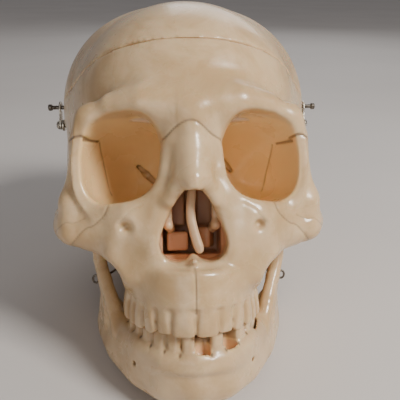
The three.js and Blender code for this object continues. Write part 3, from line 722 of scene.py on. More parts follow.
def crown(tooth, x, y, facing, index):
    """One tooth: a crown that narrows to its neck, with cusps on the back teeth."""
    width, thick, edge, neck = tooth
    tall = abs(edge - neck)
    up = 1.0 if neck > edge else -1.0
    cos, sin = math.cos(facing), math.sin(facing)

    def distance(px, py, pz):
        qx, qy = px - x, py - y
        u, v = cos * qx + sin * qy, -sin * qx + cos * qy
        h = (pz - edge) * up / tall
        swell = 0.90 + 0.085 * ramp(1.0, 0.45, h) - 0.05 * ramp(0.25, 0.0, h)
        chisel = 1.0 if index > 2 else (0.40 + 0.60 * ramp(-0.1, 0.9, h))
        hu, hv = width * 0.5 * swell, thick * 0.5 * chisel * (0.84 + 0.16 * ramp(1.2, 0.4, h))
        v = v + (0 if index > 2 else 0.17 * thick * (1 - ramp(0.0, 1.0, h)))
        cusp = 0.0
        if index > 2:
            cusp = 1.0 * np.cos(np.clip(v / hv, -1, 1) * math.pi * 1.6 + math.pi)
            if index > 4:
                cusp = cusp + 0.5 * np.cos(np.clip(u / hu, -1, 1) * math.pi * 1.7 + math.pi)
        if index == 2:
            cusp = 2.0 * (1 - np.abs(u / hu)) - 1.2
        body = (np.abs(u / hu) ** 3.4 + np.abs(v / hv) ** 2.6) ** (1 / 3.0)
        side = (body - 1) * np.minimum(hu, hv) * 0.85
        top = (edge - pz) * up - cusp * 0.55
        low = (pz - neck) * up - 3
        return rounded([side, np.maximum(top, low)], 0.8)
    reach = max(width, thick) * 0.62
    low = np.array([x - reach, y - reach, min(edge, neck) - 5])
    high = np.array([x + reach, y + reach, max(edge, neck) + 5])
    return distance, low, high


def tooth_row(clay, arch, teeth, side, root_to, skip=()):
    """One side's roots, and then its crowns apart from those that are skipped."""
    def add(shape, blend):
        clay.add(shape if side > 0 else mirror(shape), blend)
    for _, tooth, x, y, facing in tooth_places(arch, teeth):
        inward = np.array([-math.sin(facing), math.cos(facing)])
        add(bar((x + inward[0] * 0.3, y + inward[1] * 0.3, tooth[3]),
                (x + inward[0] * 2.2, y + inward[1] * 2.2, root_to),
                min(tooth[0], tooth[1]) * 0.5, tooth[0] * 0.25), 1.6)
    for i, tooth, x, y, facing in tooth_places(arch, teeth):
        if i not in skip:
            add(crown(tooth, x, y, facing, i), 0.5)


def gum_arch(arch, half, low_z, high_z, back):
    """The horseshoe of bone that carries the teeth."""
    def distance(x, y, z):
        q = np.sqrt((x / arch["half"]) ** 2 + ((y - arch["centre"]) / arch["deep"]) ** 2)
        far = np.sqrt((x / arch["half"] ** 2) ** 2 + ((y - arch["centre"]) / arch["deep"] ** 2) ** 2)
        side = np.abs(q * (q - 1) / np.maximum(far, 1e-6)) - half
        flat = np.abs(z - (low_z + high_z) / 2) - (high_z - low_z) / 2
        return rounded([side, flat, y - back], 2)
    reach = arch["half"] + half
    front = arch["centre"] - arch["deep"] - half
    return distance, np.array([-reach, front, low_z]), np.array([reach, back, high_z])


# ---------- cranium ----------

CHEEK_ARCH = chain([(58, -57, -10.5), (62.5, -46, -9), (65, -34, -6.5), (64.5, -20, -3), (61.5, -8, -0.5),
                    (56, 3, 3)], [4.6, 4.2, 3.9, 3.9, 4.2, 5], (1.7, 1, 1))


def add_face(clay):
    pair, one = clay.add_pair, clay.add
    one(ball((0, -79, 40), (30, 16, 15)), 12)
    pair(chain([(7, -90, 37), (20, -89.5, 39.5), (33, -84.5, 39), (42, -78, 35)], [4.2, 4.4, 4.2, 4.2]), 12)
    pair(chain([(42, -78, 35), (46.6, -74, 27), (47.6, -71.5, 14), (50, -69.5, 2)], [4.0, 4.0, 4.2, 5]), 9)
    pair(block((48.5, -69, -7.5), (9.5, 5.6, 10.5), 5, -0.62, 0.06), 6)
    pair(ball((52, -63, -10), (9, 9, 8.6)), 5)
    pair(chain([(15, -86, 3), (26, -83, -3.5), (38, -77, -4.5), (49, -70.5, 0)], [4.5, 4.6, 5, 5]), 5)
    pair(ball((21, -72, -20), (18.5, 21, 20)), 12)
    pair(ball((38, -70, -12), (15, 10.5, 9)), 6)
    one(chain([(0, -91.5, 34), (0, -93.5, 22), (0, -98.5, 8), (0, -99.4, 5.6)], [6, 4.8, 4.2, 3.6]), 6)
    pair(chain([(5.5, -88, 30), (9.5, -88, 12), (13.5, -87.5, -6), (15.5, -87, -20)],
               [5.5, 5, 4.2, 4.5]), 5)
    pair(chain([(3, -92, 20), (4.6, -95.5, 8), (9, -92.5, 0)], [4, 3.4, 3]), 4)
    one(ball((0, -82, -34), (21, 15.5, 12)), 6)
    one(chain([(0, -91, -27.5), (0, -96.5, -24.4)], [3.0, 1.2]), 3)
    one(block((0, -64, -29), (24, 22, 2.2), 1.5), 2)
    one(gum_arch(UPPER, 3.4, -43.4, -28.0, -44.0), 3)
    one(gum_arch(UPPER, 1.7, -48.5, -40.0, -44.0), 1)
    one(bar((0, -95.8, -44), (0, -96.2, -51.4), 1.5, 1.2), 0.6)
    pair(chain([(34, -60, 20), (32, -48, 12), (30, -42, 0)], [9, 9, 8]), 8)
    pair(CHEEK_ARCH, 5)
    pair(chain([(60, -19, -3.5), (50, -21, -5), (44, -22, -4)], [3.4, 4, 4]), 4)


def add_base(clay):
    pair, one = clay.add_pair, clay.add
    one(ball((0, 4, -11), (43, 47, 14.5)), 7)
    pair(bar((52, 12, 2), (50, 9, -24), 11.5, 6.0), 6)
    pair(chain([(40, 40, -12), (48, 26, -10), (52, 16, -4)], [8, 9, 9]), 7)
    pair(ball((15, 9, -24), (5, 9.5, 5.2)), 3)
    one(bar((0, -34, -16), (0, -2, -22), 8.5, 7), 5)
    pair(bar((36, 3, -18), (33, -2, -42), 2.6, 1.1), 2)
    pair(block((15, -41, -27), (1.7, 6, 15), 1.2, 0.15), 2.5)
    pair(block((20, -39, -26), (1.4, 6, 12), 1.2, 0.45), 2.5)
    pair(chain([(14, -6, -19), (28, 2, -19), (42, 6, -12)], [6, 6.5, 7]), 5)
    one(ball((0, 82, 8), (9, 5, 5)), 5)
    pair(chain([(4, 83, 7), (24, 78, 10), (42, 62, 8)], [2.5, 2.2, 1.8]), 5)
    pair(chain([(4, 68, -16), (24, 62, -18), (38, 50, -16)], [2, 2, 1.6]), 5)


def carve_cranium(clay):
    pair, one = clay.carve_pair, clay.carve
    pair(eye_socket(), 1.4)
    one(nasal_hollow(), 1.0)
    one(group([ball((0, -62, -52), (19.5, 30, 20.5)), bar((0, -50, -50), (0, -30, -48), 17)], 3), 2)
    one(foramen_magnum(0), 1.5)
    pair(ball((49.5, -12, -9), (12.5, 8.4, 9.6)), 1.5)
    pair(bar((80, 2, -3), (46, -2, -4), 4.2, 3.0), 1.5)
    pair(ball((27.5, -90.5, -10.5), (2.0, 4.6, 1.7)), 2.5)
    pair(ball((29, -99, -23), (9, 11, 12)), 9)
    pair(bar((42, -98, -36.5), (47, -40, -38), 14.2), 2)
    pair(bar((25, -3, -30), (24, 0, -12), 3.6, 3), 1.5)
    pair(bar((24, -18, -34), (24, -16, -15), 2.2, 2), 1)
    pair(bar((46, -2, -34), (45, 2, -26), 1.4, 1.2), 1)
    pair(bar((42, 12, -30), (46, 30, -22), 3, 3), 3)
    one(bar((0, -86, -34), (0, -84, -26), 1.6, 1.6), 1)
    # eye socket fissures: dark slits at the back of each socket
    one(chain([(-24.6, -44.6, 17.6), (-20.3, -43.4, 13.2), (-15.8, -46.2, 8.6)], [0.3, 1.5, 1.2]))
    one(chain([(17.2, -46.6, 19.4), (19.4, -44.6, 17.0), (21.8, -43.6, 14.2)], [1.5, 1.1, 0.4]))
    pair(chain([(15.4, -50, 11), (15.0, -52, 15)], [0.5, 0.7]))
    pair(chain([(30, -63, -0.9), (32, -57, 0.4)], [0.5, 0.7]), 0.5)


def add_nose_inside(clay):
    """The closed back of the nose: two blocks beside the septum and a stepped wall."""
    clay.add(block((0, -56, -8), (14, 3, 18), 1.0), 0.5)
    clay.add(block((-6.4, -66, -18.0), (4.6, 6, 4.2), 0.8, 0.05), 0.4)
    clay.add(block((5.8, -67, -16.4), (3.6, 6, 4.6), 0.8, -0.25), 0.4)
    clay.add_pair(block((6.2, -61, -3), (3.6, 3, 8.5), 1.0), 0.5)


def face_lines():
    """Sutures of the face as seen from in front: (line, depth, width)."""
    brow = [(-13.6, -88, 23.4), (-10.5, -92, 25.2), (-7, -95, 28.2), (-3, -97, 30.4), (0.4, -98, 30.8),
            (4, -96, 29), (8, -92.5, 25.8), (13, -88, 23.6)]
    middle = [(0, -101, -27), (0.4, -101, -34), (0.2, -102, -44.5)]
    on_each_side = [
        ([(43.5, -74, 26.4), (47, -75, 27.2), (54, -72, 26.0)], 0.6, 0.75),
        ([(34.5, -80, -1.5), (36.5, -80, -6), (41, -78, -10), (45.5, -74, -12), (52, -68, -19)], 0.3, 0.7),
        ([(21, -84, -2), (25.5, -84, -4.6), (30, -82, -9.5)], 0.22, 0.7),
        ([(45, -78, -7), (50, -76, -9), (54, -72, -9), (60, -64, -13)], 0.25, 0.7),
    ]
    lines = [(smooth_line(brow), 0.35, 0.75), (smooth_line(middle), 0.35, 0.7)]
    for corners, depth, width in on_each_side:
        line = smooth_line(corners)
        lines += [(line, depth, width), (line * MIRRORED, depth, width)]
    return lines


def socket_lines():
    """Creases and slits inside the eye sockets, which differ a little from side to side."""
    fissures = [[(-24.4, -45.1, 17.3), (-20.3, -44.2, 13.2), (-16.0, -46.8, 8.8)],
                [(17.8, -46.4, 18.9), (19.4, -45.1, 17.0), (21.2, -44.2, 14.9)]]
    walls = [[(-39.9, -67.0, 26.2), (-39.5, -60.4, 19.3), (-38.2, -57.1, 11.2), (-36.1, -56.6, 3.2)],
             [(38.5, -62.8, 25.1), (38.0, -57.4, 18.6), (36.6, -54.3, 11.2), (34.8, -54.0, 4.1)]]
    rims = [[(-44.8, -79.9, 25.7), (-42.5, -73.2, 26.2), (-40.2, -68.0, 26.5)],
            [(44.3, -77.2, 24.9), (42.2, -71.0, 25.1), (39.8, -65.4, 25.2)]]
    return [(smooth_line(corners), depth, width)
            for kind, depth, width in ((fissures, 0.9, 1.1), (walls, 0.25, 0.85), (rims, 0.5, 0.8))
            for corners in kind]


def face_warmth(points, _normals):
    """Where the moulding is tan: inside the eye sockets, the nose and the braincase."""
    x, y, z = points.T
    side = np.abs(x)
    socket = eye_socket()[0](side, y, z)
    warm = ramp(1.5, 0.2, np.abs(socket)) * ramp(-83, -76, y + 0.25 * (side - 30)) * (y < -38) * (side > 9)
    nose = nasal_hollow()[0](x, y, z)
    warm = np.maximum(warm, 1.5 * ramp(1.2, 0.2, nose) * ramp(-92, -84, y) * (y < -42))
    below_cut, above_floor = cut_height(x, y, z) < -0.8, z > floor_height(x, y) - 2
    inside = ramp(-1.5, -3.2, BRAINCASE[0](x, y, z)) * below_cut * (y > -90) * above_floor
    return np.maximum(warm, 0.8 * inside)


BRAINCASE_MIDDLE = np.array([0, 4, 46.0])


def onto_skin(points):
    """Moves points straight out from the braincase's middle until they lie on its skin."""
    out = []
    for p in points:
        way = (p - BRAINCASE_MIDDLE) / np.linalg.norm(p - BRAINCASE_MIDDLE)
        reach = 40.0
        for _ in range(30):
            q = BRAINCASE_MIDDLE + way * reach
            reach -= float(BRAINCASE[0](*[np.array(v) for v in q])) * 0.8
        out.append(BRAINCASE_MIDDLE + way * reach)
    return np.array(out)


def wavering(points, size, waves):
    """A line on the braincase's skin that wavers from side to side."""
    line = smooth_line(points, 60)
    along = np.linspace(0, 1, len(line))
    side = np.cross(np.gradient(line, axis=0), line - BRAINCASE_MIDDLE)
    side /= np.maximum(np.linalg.norm(side, axis=1), 1e-9)[:, None]
    wave = np.sin(along * waves * 6.283) + 0.6 * np.sin(along * waves * 15.1 + 1)
    return onto_skin(line + side * (size * wave)[:, None])


def braincase_lines():
    """Coronal, sagittal, lambdoid and squamous sutures: (line, depth, width)."""
    coronal = wavering([(-58, -26, 38), (-50, -30, 78), (-26, -25, 102), (0, -22, 112), (26, -25, 102),
                        (50, -30, 78), (58, -26, 38)], 1.0, 26)
    lines = [wavering([(0, -22, 112), (0, 10, 114), (0, 45, 105), (0, 78, 72)], 1.2, 15)]
    for side in (1, -1):
        lines.append(wavering([(0, 78, 72), (side * 28, 74, 52), (side * 50, 56, 26),
                               (side * 57, 38, 8)], 1.5, 11))
        lines.append(wavering([(side * 66, -22, 18), (side * 70, -8, 36), (side * 70, 14, 38),
                               (side * 64, 32, 18)], 0.7, 9))
    return [(coronal, 0.12, 1.0)] + [(line, 0.3, 1.0) for line in lines]


def make_cranium():
    clay = Clay(steps(-72, 72, 0.8),
                graded((-106, -40, 0.62), (-40, 20, 1.1), (20, 92, 1.7)),
                graded((-56, 44, 0.68), (44, 74, 1.3)))
    add_face(clay)
    clay.carve_pair(ball((63, -40, 22), (14, 25, 36)), 5)
    clay.add(BRAINCASE, 4)
    add_base(clay)
    clay.add_pair(socket_wall(), 3)
    add_cheek_again(clay)
    floor = (lambda x, y, z: np.maximum(inner_braincase(x, y, z), floor_height(x, y) - z),
             np.array([-70, -90, -34]), np.array([70, 90, 80]))
    clay.carve(floor, 1.0)
    clay.add_pair(socket_wall(), 1.5)
    carve_cranium(clay)
    add_nose_inside(clay)
    for side in (1, -1):
        tooth_row(clay, UPPER, UPPER_TEETH, side, -32)
    clay.keep(lambda x, y, z: np.maximum(cut_height(x, y, z), -above_table(x, y, z)))
    for shape in latch_holes() + spring_screw_holes():
        clay.carve(shape)
    moulded("cranium_moulding", clay, "skull", BONE, ["cranium"],
            braincase_lines() + socket_lines() + tooth_lines(UPPER, UPPER_TEETH),
            drawings=face_lines(), warm=face_warmth)


def add_cheek_again(clay):
    """The arch and the socket's outer rim stand clear of the temple's hollow."""
    clay.add_pair(CHEEK_ARCH, 4)
    clay.add_pair(chain([(43, -77.5, 34.5), (47, -73.5, 26), (48, -71, 14), (50, -69, 2)],
                        [4.2, 4.0, 4.2, 5]), 5)


def make_cap():
    clay = Clay(steps(-72, 72, 1.25), steps(-95, 93, 1.25), steps(38, 115, 1.25))
    clay.add(BRAINCASE)
    clay.carve((inner_braincase, np.array([-70, -90, 20]), np.array([70, 90, 112])))
    clay.keep(lambda x, y, z: 0.16 - cut_height(x, y, z))
    for shape in latch_pin_holes():
        clay.carve(shape)
    moulded("skull_cap", clay, "cap", BONE, ["calvarium"], braincase_lines())


def make_inner_floor():
    clay = Clay(steps(-64, 64, 1.1), steps(-90, 78, 1.1), steps(-32, 46, 1.0))

    def lining(x, y, z):
        above = z - floor_height(x, y)
        return np.maximum(inner_braincase(x, y, z) + 0.35, np.maximum(above - 3.35, 0.35 - above))
    clay.add((lining, np.array([-64, -90, -32]), np.array([64, 78, 46])))
    clay.carve(foramen_magnum(1), 1)
    for x, y, r in ((12, -26, 2), (24, -18, 1.8), (27, -8, 1.4), (22, 10, 2.4), (12, -34, 1.8)):
        clay.carve_pair(bar((x, y, floor_height(x, y) - 4), (x, y, floor_height(x, y) + 8), r), 0.6)
    clay.add(chain([(0, -76, 33), (0, -70, 36), (0, -62, 33.5)], [1, 1.6, 1]), 2)
    for i in range(6):
        clay.carve_pair(bar((2.6, -70 + 3.4 * i, 28), (2.6, -70 + 3.4 * i, 40), 0.7), 0.3)
    moulded("skull_base_lining", clay, "skull", LINING, ["cranial_floor"])


# ---------- nose ----------

def make_septum():
    """A curved partition with a rounded free edge in front."""
    clay = Clay(steps(-6, 8, 0.36), steps(-90, -46, 0.5), steps(-25, 7, 0.36))
    bend = smooth_line([(-0.1, 0, 4), (-0.7, 0, -3), (-0.6, 0, -8), (0.4, 0, -13), (1.7, 0, -17.5),
                        (2.6, 0, -20.6)], 4)
    for a, b in zip(bend[:-1], bend[1:]):
        edge = -85.5 + 0.05 * (a[2] + 8)
        clay.add(bar((a[0], edge, a[2]), (b[0], edge, b[2]), 1.75), 0.8)
        for y in np.arange(-84, -52, 2.0):
            fade = 1 - 0.018 * (y + 84)
            clay.add(bar((a[0] * fade, y, a[2]), (b[0] * fade, y, b[2]), 1.3), 0.8)
    moulded("septum", clay, "skull", LINING, ["nasal_septum"])


def make_conchae():
    """A ledge that curls out of each side wall of the nose."""
    clay = Clay(steps(5, 15, 0.36), steps(-86, -46, 0.5), steps(-22, 4, 0.4))
    clay.add(block((10.6, -69, -6.5), (1.7, 12, 6.0), 1.2, -0.05, 0.0))
    clay.add(chain([(10.2, -81, -10.5), (9.4, -72, -12.2), (9.8, -57, -11.5)], [1.4, 2.0, 1.4]), 2)
    clay.carve(bar((13.4, -84, -14.5), (13.4, -54, -14.5), 2.6), 1)
    # The fixed hollow mark of 0.3 lays an even painted shade over the conchae.
    on_both_sides("concha", clay, lambda word: "skull", LINING, "inferior_concha",
                  {"hollow": 0.3, "seam": 0.0, "warm": 0.3})


# ---------- lower jaw ----------

# lower border point, top point, half thickness below and above
JAW_STATIONS = [((0, -79.5, -78.5), (0, -89.5, -64), 6.6, 4.8),
                ((13, -76.5, -77.5), (11.5, -86.5, -64), 6.4, 4.8),
                ((24, -66.5, -75), (21, -76, -61.5), 5.9, 5.0),
                ((34, -50.5, -70.5), (27, -62, -60.5), 5.4, 5.2),
                ((40.6, -34, -65.6), (33, -46, -57.5), 4.6, 5.0),
                ((44, -22, -61), (41, -34, -50), 3.7, 4.0)]
# the jaw's branch from the side, as (y, z), from its rear corner over the condyle
RAMUS = [(-15.5, -61.5), (-10, -42), (-7.2, -24), (-7.6, -9), (-13, -6), (-18, -10.5), (-23, -15),
         (-28, -16.5), (-33, -14.5), (-37, -10.5), (-41, -6.5), (-44, -6.5), (-46.2, -14), (-44.8, -26),
         (-45.4, -40), (-49, -52), (-45, -61), (-34, -68.4), (-22, -66.2)]


def jaw_body(clay):
    stations = [np.array([*low, *high, r_low, r_high]) for low, high, r_low, r_high in JAW_STATIONS]
    fine = [a * (1 - t) + b * t for a, b in zip(stations, stations[1:]) for t in (0, 0.25, 0.5, 0.75)]
    for row in [*fine, stations[-1]]:
        clay.add_pair(bar(row[:3], row[3:6], row[6], row[7]), 4)
    clay.add(ball((0, -81.5, -74.5), (12, 8.5, 7)), 6)
    clay.add_pair(ball((11.5, -78.5, -77.5), (6, 6, 4.6)), 5)
    clay.add(gum_arch(LOWER, 3.2, -69.0, -62.4, -40.0), 3)
    clay.add(gum_arch(LOWER, 1.4, -64.0, -59.6, -40.0), 1)


def tooth_hole(x, y, facing, tooth):
    """The hole that a lost front tooth leaves in the gum."""
    return block((x, y + 0.5, -57.4), (tooth[0] / 2 + 0.2, tooth[1] / 2 + 0.2, 6.2), 1.6, facing)


def make_jaw():
    clay = Clay(steps(-62, 62, 0.68), graded((-100, -40, 0.62), (-40, 2, 0.85)), steps(-88, 2, 0.68))
    jaw_body(clay)
    clay.add_pair(plate(RAMUS, 44.2, 2.7, 2.0, flare=0.16, pivot=-28, lean=0.15, level=-40), 3.5)
    clay.add_pair(ball((50, -12, -6), (9, 4.4, 4.6)), 2.5)
    clay.add_pair(chain([(49, -11, -8), (48.4, -11, -18), (47.6, -14, -34)], [4.2, 3.0, 2.0]), 3)
    clay.add_pair(chain([(46, -42.5, -14), (44.8, -43.5, -28), (41, -45.5, -38), (36.5, -51, -50),
                         (33.6, -56, -60)], [1.6, 1.7, 2.9, 3.6, 3.2]), 3)
    for side in (1, -1):
        tooth_row(clay, LOWER, LOWER_TEETH, side, -68, (*EMPTY_SOCKETS, LOOSE_MOLAR) if side > 0 else ())
    tooth_holes = []
    for i, tooth, x, y, facing in tooth_places(LOWER, LOWER_TEETH):
        if i in EMPTY_SOCKETS:
            clay.add(block((x * 0.94, y + 4.9, -61.2), (tooth[0] / 2 + 1.6, 1.5, 5.6), 1.2, facing), 1.0)
            hole = tooth_hole(x, y, facing, tooth)
            clay.carve(hole, 0.5)
            tooth_holes.append(hole)
        if i == LOOSE_MOLAR:
            clay.carve(block((x, y, -54.6), (tooth[0] / 2 + 0.1, tooth[1] / 2 + 0.6, 5.4), 1.0, facing), 0.3)
            clay.carve(bar((x, y, -58), (x, y, -67.5), 3.9, 3.2), 0.3)
    clay.carve_pair(bar((27, -79, -68.5), (23, -74, -69.5), 0.9, 0.9), 0.8)
    clay.carve_pair(bar((42, -28, -29), (46, -27, -31), 2.2, 1.6), 1)
    clay.carve_pair(bar((34, *SPRING_HOLE[1:]), (60, *SPRING_HOLE[1:]), 1.9), 0.3)
    clay.carve_pair(ball((55.6, -28, -44), (9.0, 14, 14)), 4)
    clay.keep(lambda x, y, z: -above_table(x, y, z))

    def socket_warmth(points, normals):
        warm = np.zeros(len(points))
        for hole in tooth_holes:
            near = ramp(1.2, 0.3, hole[0](*points.T))
            warm = np.maximum(warm, 1.3 * near * ramp(-57.5, -59, points[:, 2]))
        inner = ramp(-0.2, -0.7, normals[:, 0] * np.sign(points[:, 0])) * ramp(-52, -40, points[:, 1])
        return np.maximum(warm, 0.75 * inner * (np.abs(points[:, 0]) > 30))
    moulded("jaw_moulding", clay, "jaw", BONE, ["mandible"],
            tooth_lines(LOWER, LOWER_TEETH), warm=socket_warmth)


def make_loose_molar():
    for i, tooth, x, y, facing in tooth_places(LOWER, LOWER_TEETH):
        if i == LOOSE_MOLAR:
            clay = Clay(steps(x - 9, x + 9, 0.35), steps(y - 9, y + 9, 0.35), steps(-70, -48, 0.35))
            clay.add(crown((tooth[0] - 0.3, tooth[1], tooth[2], tooth[3] + 1.6), x, y, facing, i))
            clay.add(bar((x, y, -57), (x, y, -65.5), 3.3, 2.4), 1.5)
    moulded("lower_molar", clay, "jaw", ENAMEL, ["removable_molar"])


# ---------- latches, screws and pegs, on the skull's left side; mirrored for the right ----------

SCREW_AT = (12, 47.5)
PIN_AT = (10.5, 57.8)


def latch_holes():
    return both(bar((55, *SCREW_AT), (90, *SCREW_AT), 1.55))


def latch_pin_holes():
    return both(bar((50, *PIN_AT), (90, *PIN_AT), 1.5))


def disc(at, x_from, x_to, radius, rounding=0.3):
    """A round disc or shank along X."""
    def distance(x, y, z):
        side = np.sqrt((y - at[0]) ** 2 + (z - at[1]) ** 2) - radius
        flat = np.abs(x - (x_from + x_to) / 2) - (x_to - x_from) / 2
        return rounded([side, flat], rounding)
    low = np.array([x_from, at[0] - radius, at[1] - radius])
    return distance, low, np.array([x_to, at[0] + radius, at[1] + radius])


def small_clay(low, high, size=0.17):
    return Clay(*[steps(lo - 0.6, hi + 0.6, size) for lo, hi in zip(low, high)])


def make_latch_screws():
    clay = small_clay((63, 8.8, 44.3), (77, 15.2, 50.7))
    clay.add(disc(SCREW_AT, 63, 75, 1.2))
    clay.add(ball((74.3, *SCREW_AT), (1.9, 2.6, 2.6)))
    clay.carve(disc(SCREW_AT, 70, 74.35, 6, 0.1))
    clay.add(disc(SCREW_AT, 63, 74.6, 1.2))
    clay.carve(block((76.2, *SCREW_AT), (0.9, 3, 0.38), 0.1, 0.0, 0.6))
    on_both_sides("hook_screw", clay, lambda word: "skull", NICKEL, "latch_screw")


def make_washers():
    clay = small_clay((71.2, 8.4, 44), (72.6, 15.6, 51.1))
    clay.add(disc(SCREW_AT, 71.2, 72.5, 3.4, 0.35))
    clay.carve(disc(SCREW_AT, 70, 74, 1.55, 0.1))
    on_both_sides("hook_washer", clay, lambda word: "skull", NICKEL, "latch_washer")


def make_pins():
    clay = small_clay((61, 8, 55.4), (80.6, 12.8, 60.2))
    clay.add(disc(PIN_AT, 61, 79, 1.15))
    clay.add(disc(PIN_AT, 78.1, 80.5, 1.9, 0.6))
    clay.add(disc(PIN_AT, 69.6, 70.6, 1.7, 0.3))
    on_both_sides("cap_pin", clay, lambda word: "cap", DARK_STEEL, "latch_pin")


def make_hooks():
    clay = small_clay((72.9, 6.6, 44.6), (74.1, 15.2, 61.6))
    y, z = SCREW_AT
    outline = [(y - 2.7, z), (y + 2.7, z), (y + 2.7, z + 7.5), (y + 1.4, z + 8.8), (y - 1.5, z + 8.8),
               (y - 2.9, z + 9.6), (y - 2.9, z + 11), (y - 1.5, z + 11.9), (y + 2.5, z + 12.2),
               (y + 2.4, z + 13.2), (y - 1.5, z + 13.9), (y - 3.6, z + 12.2), (y - 3.6, z + 8.6),
               (y - 2.7, z + 6.4)]
    clay.add(plate(outline, 73.5, 0.6, 0.25))
    clay.add(disc(SCREW_AT, 72.9, 74.1, 2.7, 0.25))
    clay.carve(disc(SCREW_AT, 70, 76, 1.55, 0.1))
    clay.carve(disc(PIN_AT, 70, 76, 1.5, 0.1))
    on_both_sides("hook", clay, lambda word: f"hook_{word}", NICKEL, "latch_hook")


def make_pegs():
    """The seating pegs stay where the CAD model has them, with a rounded top."""
    normal = np.array([0, math.sin(CUT_ANGLE), math.cos(CUT_ANGLE)])
    for name in ("locating_peg_front", "locating_peg_back"):
        low, high = (np.array(v) * 1000 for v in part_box(name))
        centre = TURN.T @ ((low + high) / 2 - SHIFT)
        a, b = centre - normal * 1.7, centre + normal * 1.7
        clay = small_clay(np.minimum(a, b) - 1.2, np.maximum(a, b) + 1.2, 0.15)
        clay.add(bar(a, b, 0.85))
        points, quads = clay.skin()
        piece(f"{name}_turned", points, quads, "skull", DARK_STEEL, [name])


SPRING_TOP = (37.5, -29.0, -17.0)
SPRING_HOLE = (43.0, -40.5, -36.0)
SPRING_SCREW_WAY = np.array([-14.0, 0, 12.0]) / math.hypot(14, 12)


def spring_screw_holes():
    top = np.array(SPRING_TOP)
    return both(bar(top, top + SPRING_SCREW_WAY * 18, 1.5))


def make_spring_screws():
    top = np.array(SPRING_TOP)
    clay = small_clay(top - (11, 3, 3), top + (3, 3, 11), 0.2)
    clay.add(bar(top, top + SPRING_SCREW_WAY * 12, 1.15, 0.9))
    clay.add(bar(top - SPRING_SCREW_WAY * 0.6, top - SPRING_SCREW_WAY * 0.3, 1.9, 2.0))
    on_both_sides("spring_screw_head", clay, lambda word: "skull", NICKEL, "spring_screw")


def tube(line, radius, sides=10):
    """A round wire along a line of points, closed at both ends."""
    line = np.asarray(line)
    way = np.gradient(line, axis=0)
    way /= np.linalg.norm(way, axis=1)[:, None]
    side = np.cross(way[0], [0.3, 0.5, 0.8])
    points = []
    for p, w in zip(line, way):
        side = side - w * (side @ w)
        side /= np.linalg.norm(side)
        other = np.cross(w, side)
        for i in range(sides):
            a = 2 * math.pi * i / sides
            points.append(p + radius * (math.cos(a) * side + math.sin(a) * other))
    rings = [[r * sides + i for i in range(sides)] for r in range(len(line))]
    faces = [(here[i], here[(i + 1) % sides], there[(i + 1) % sides], there[i])
             for here, there in zip(rings, rings[1:]) for i in range(sides)]
    return np.array(points), [*faces, tuple(rings[0][::-1]), tuple(rings[-1])]


def spring_line():
    """A close coil from its screw to the jaw, through the jaw's hole, ending in a loop outside."""
    top, hole = np.array(SPRING_TOP) + (0.6, -0.4, -2.6), np.array(SPRING_HOLE)
    bottom = hole + (-8, 2.5, 3.5)
    axis = bottom - top
    u = np.cross(axis, (0, 1, 0))
    u /= np.linalg.norm(u)
    v = np.cross(axis / np.linalg.norm(axis), u)
    turns, per = 11, 16
    coil = [top + axis * (0.14 + 0.72 * k / (turns * per))
            + 2.9 * (math.cos(2 * math.pi * k / per) * u + math.sin(2 * math.pi * k / per) * v)
            for k in range(turns * per + 1)]
    loop = [hole + np.array([3.4 + 1.6 * math.sin(a), 0.6 * a / 3, -1.9 + 1.9 * math.cos(a)])
            for a in np.linspace(0, 5.2, 14)]
    ends = smooth_line([coil[-1], bottom + (0.5, 0, 0), hole + (-3, 0.3, 0.6), hole + (1, 0, 0), loop[0]], 6)
    eye = smooth_line([top + (0.2, 0, 2.4), top + (1.8, 0, 1.2), top + (0.9, 0, 0), coil[0]], 8)
    return np.vstack([eye[:-1], coil[:-1], ends[:-1], loop])


def make_springs():
    points, faces = tube(spring_line(), 0.55)
    for side, word in ((1, "left"), (-1, "right")):
        here = points * np.array([side, 1, 1])
        turned = [face if side > 0 else face[::-1] for face in faces]
        made = piece(f"spring_{word}", here, turned, None, DARK_STEEL)
        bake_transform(made)
        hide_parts(f"jaw_spring_{word}")


# ---------- studio ----------

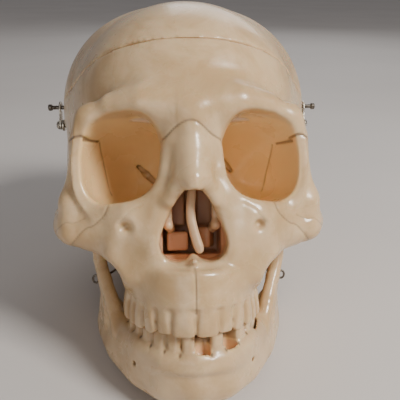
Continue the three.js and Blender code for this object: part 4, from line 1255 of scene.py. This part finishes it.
CAMERA_AT = (-9.4, -291.8, -3.2)
CAMERA_LOOKS = (0.06092, 0.99804, 0.01437)
CAMERA_UP = (0.01686, -0.01542, 0.99974)
LENS_MM = 45.0


def make_camera():
    data = bpy.data.cameras.new("camera")
    data.lens = LENS_MM
    data.sensor_width = 36.0
    camera = in_scene("camera", data)
    back = Vector(TURN @ -np.array(CAMERA_LOOKS)).normalized()
    right = Vector(TURN @ np.array(CAMERA_UP)).cross(back).normalized()
    up = back.cross(right)
    turn = Matrix((right, up, back)).transposed().to_4x4()
    camera.matrix_world = Matrix.Translation(placed([CAMERA_AT])[0]) @ turn
    bpy.context.scene.camera = camera


def make_light(name, at, aim, size, power, colour=(1, 1, 1)):
    data = bpy.data.lights.new(name, "AREA")
    data.size = size
    data.energy = power
    data.color = colour
    light = in_scene(name, data)
    light.location = at
    light.rotation_euler = (Vector(aim) - Vector(at)).to_track_quat("-Z", "Y").to_euler()


def make_studio():
    n = Nodes("floor")
    floor_colour = n.mix(n.fit(n.noise(3.0, 3.0), 0.3, 0.7), (0.62, 0.59, 0.57), (0.66, 0.63, 0.61))
    material = n.finish(floor_colour, 0.7)
    mesh = bpy.data.meshes.new("floor")
    mesh.from_pydata([(-4, -3, 0), (4, -3, 0), (4, 5, 0), (-4, 5, 0)], [], [(0, 1, 2, 3)])
    mesh.materials.append(material)
    in_scene("floor", mesh)
    make_light("key", (0.70, -0.58, 0.85), (0, 0, 0.08), 0.32, 16, (1.0, 0.955, 0.90))
    make_light("fill", (-0.55, -1.5, 0.5), (0, 0, 0.08), 1.0, 3.6, (1.0, 0.95, 0.90))
    make_light("rim", (0.3, 1.2, 0.9), (0, 0, 0.12), 0.9, 4.0)
    world = bpy.data.worlds.new("world")
    world.use_nodes = True
    background = world.node_tree.nodes["Background"]
    background.inputs["Color"].default_value = (0.80, 0.77, 0.77, 1)
    background.inputs["Strength"].default_value = 0.27
    bpy.context.scene.world = world


make_camera()
make_studio()
make_cranium()
make_cap()
make_inner_floor()
make_septum()
make_conchae()
make_jaw()
make_loose_molar()
make_latch_screws()
make_washers()
make_pins()
make_hooks()
make_pegs()
make_spring_screws()
make_springs()
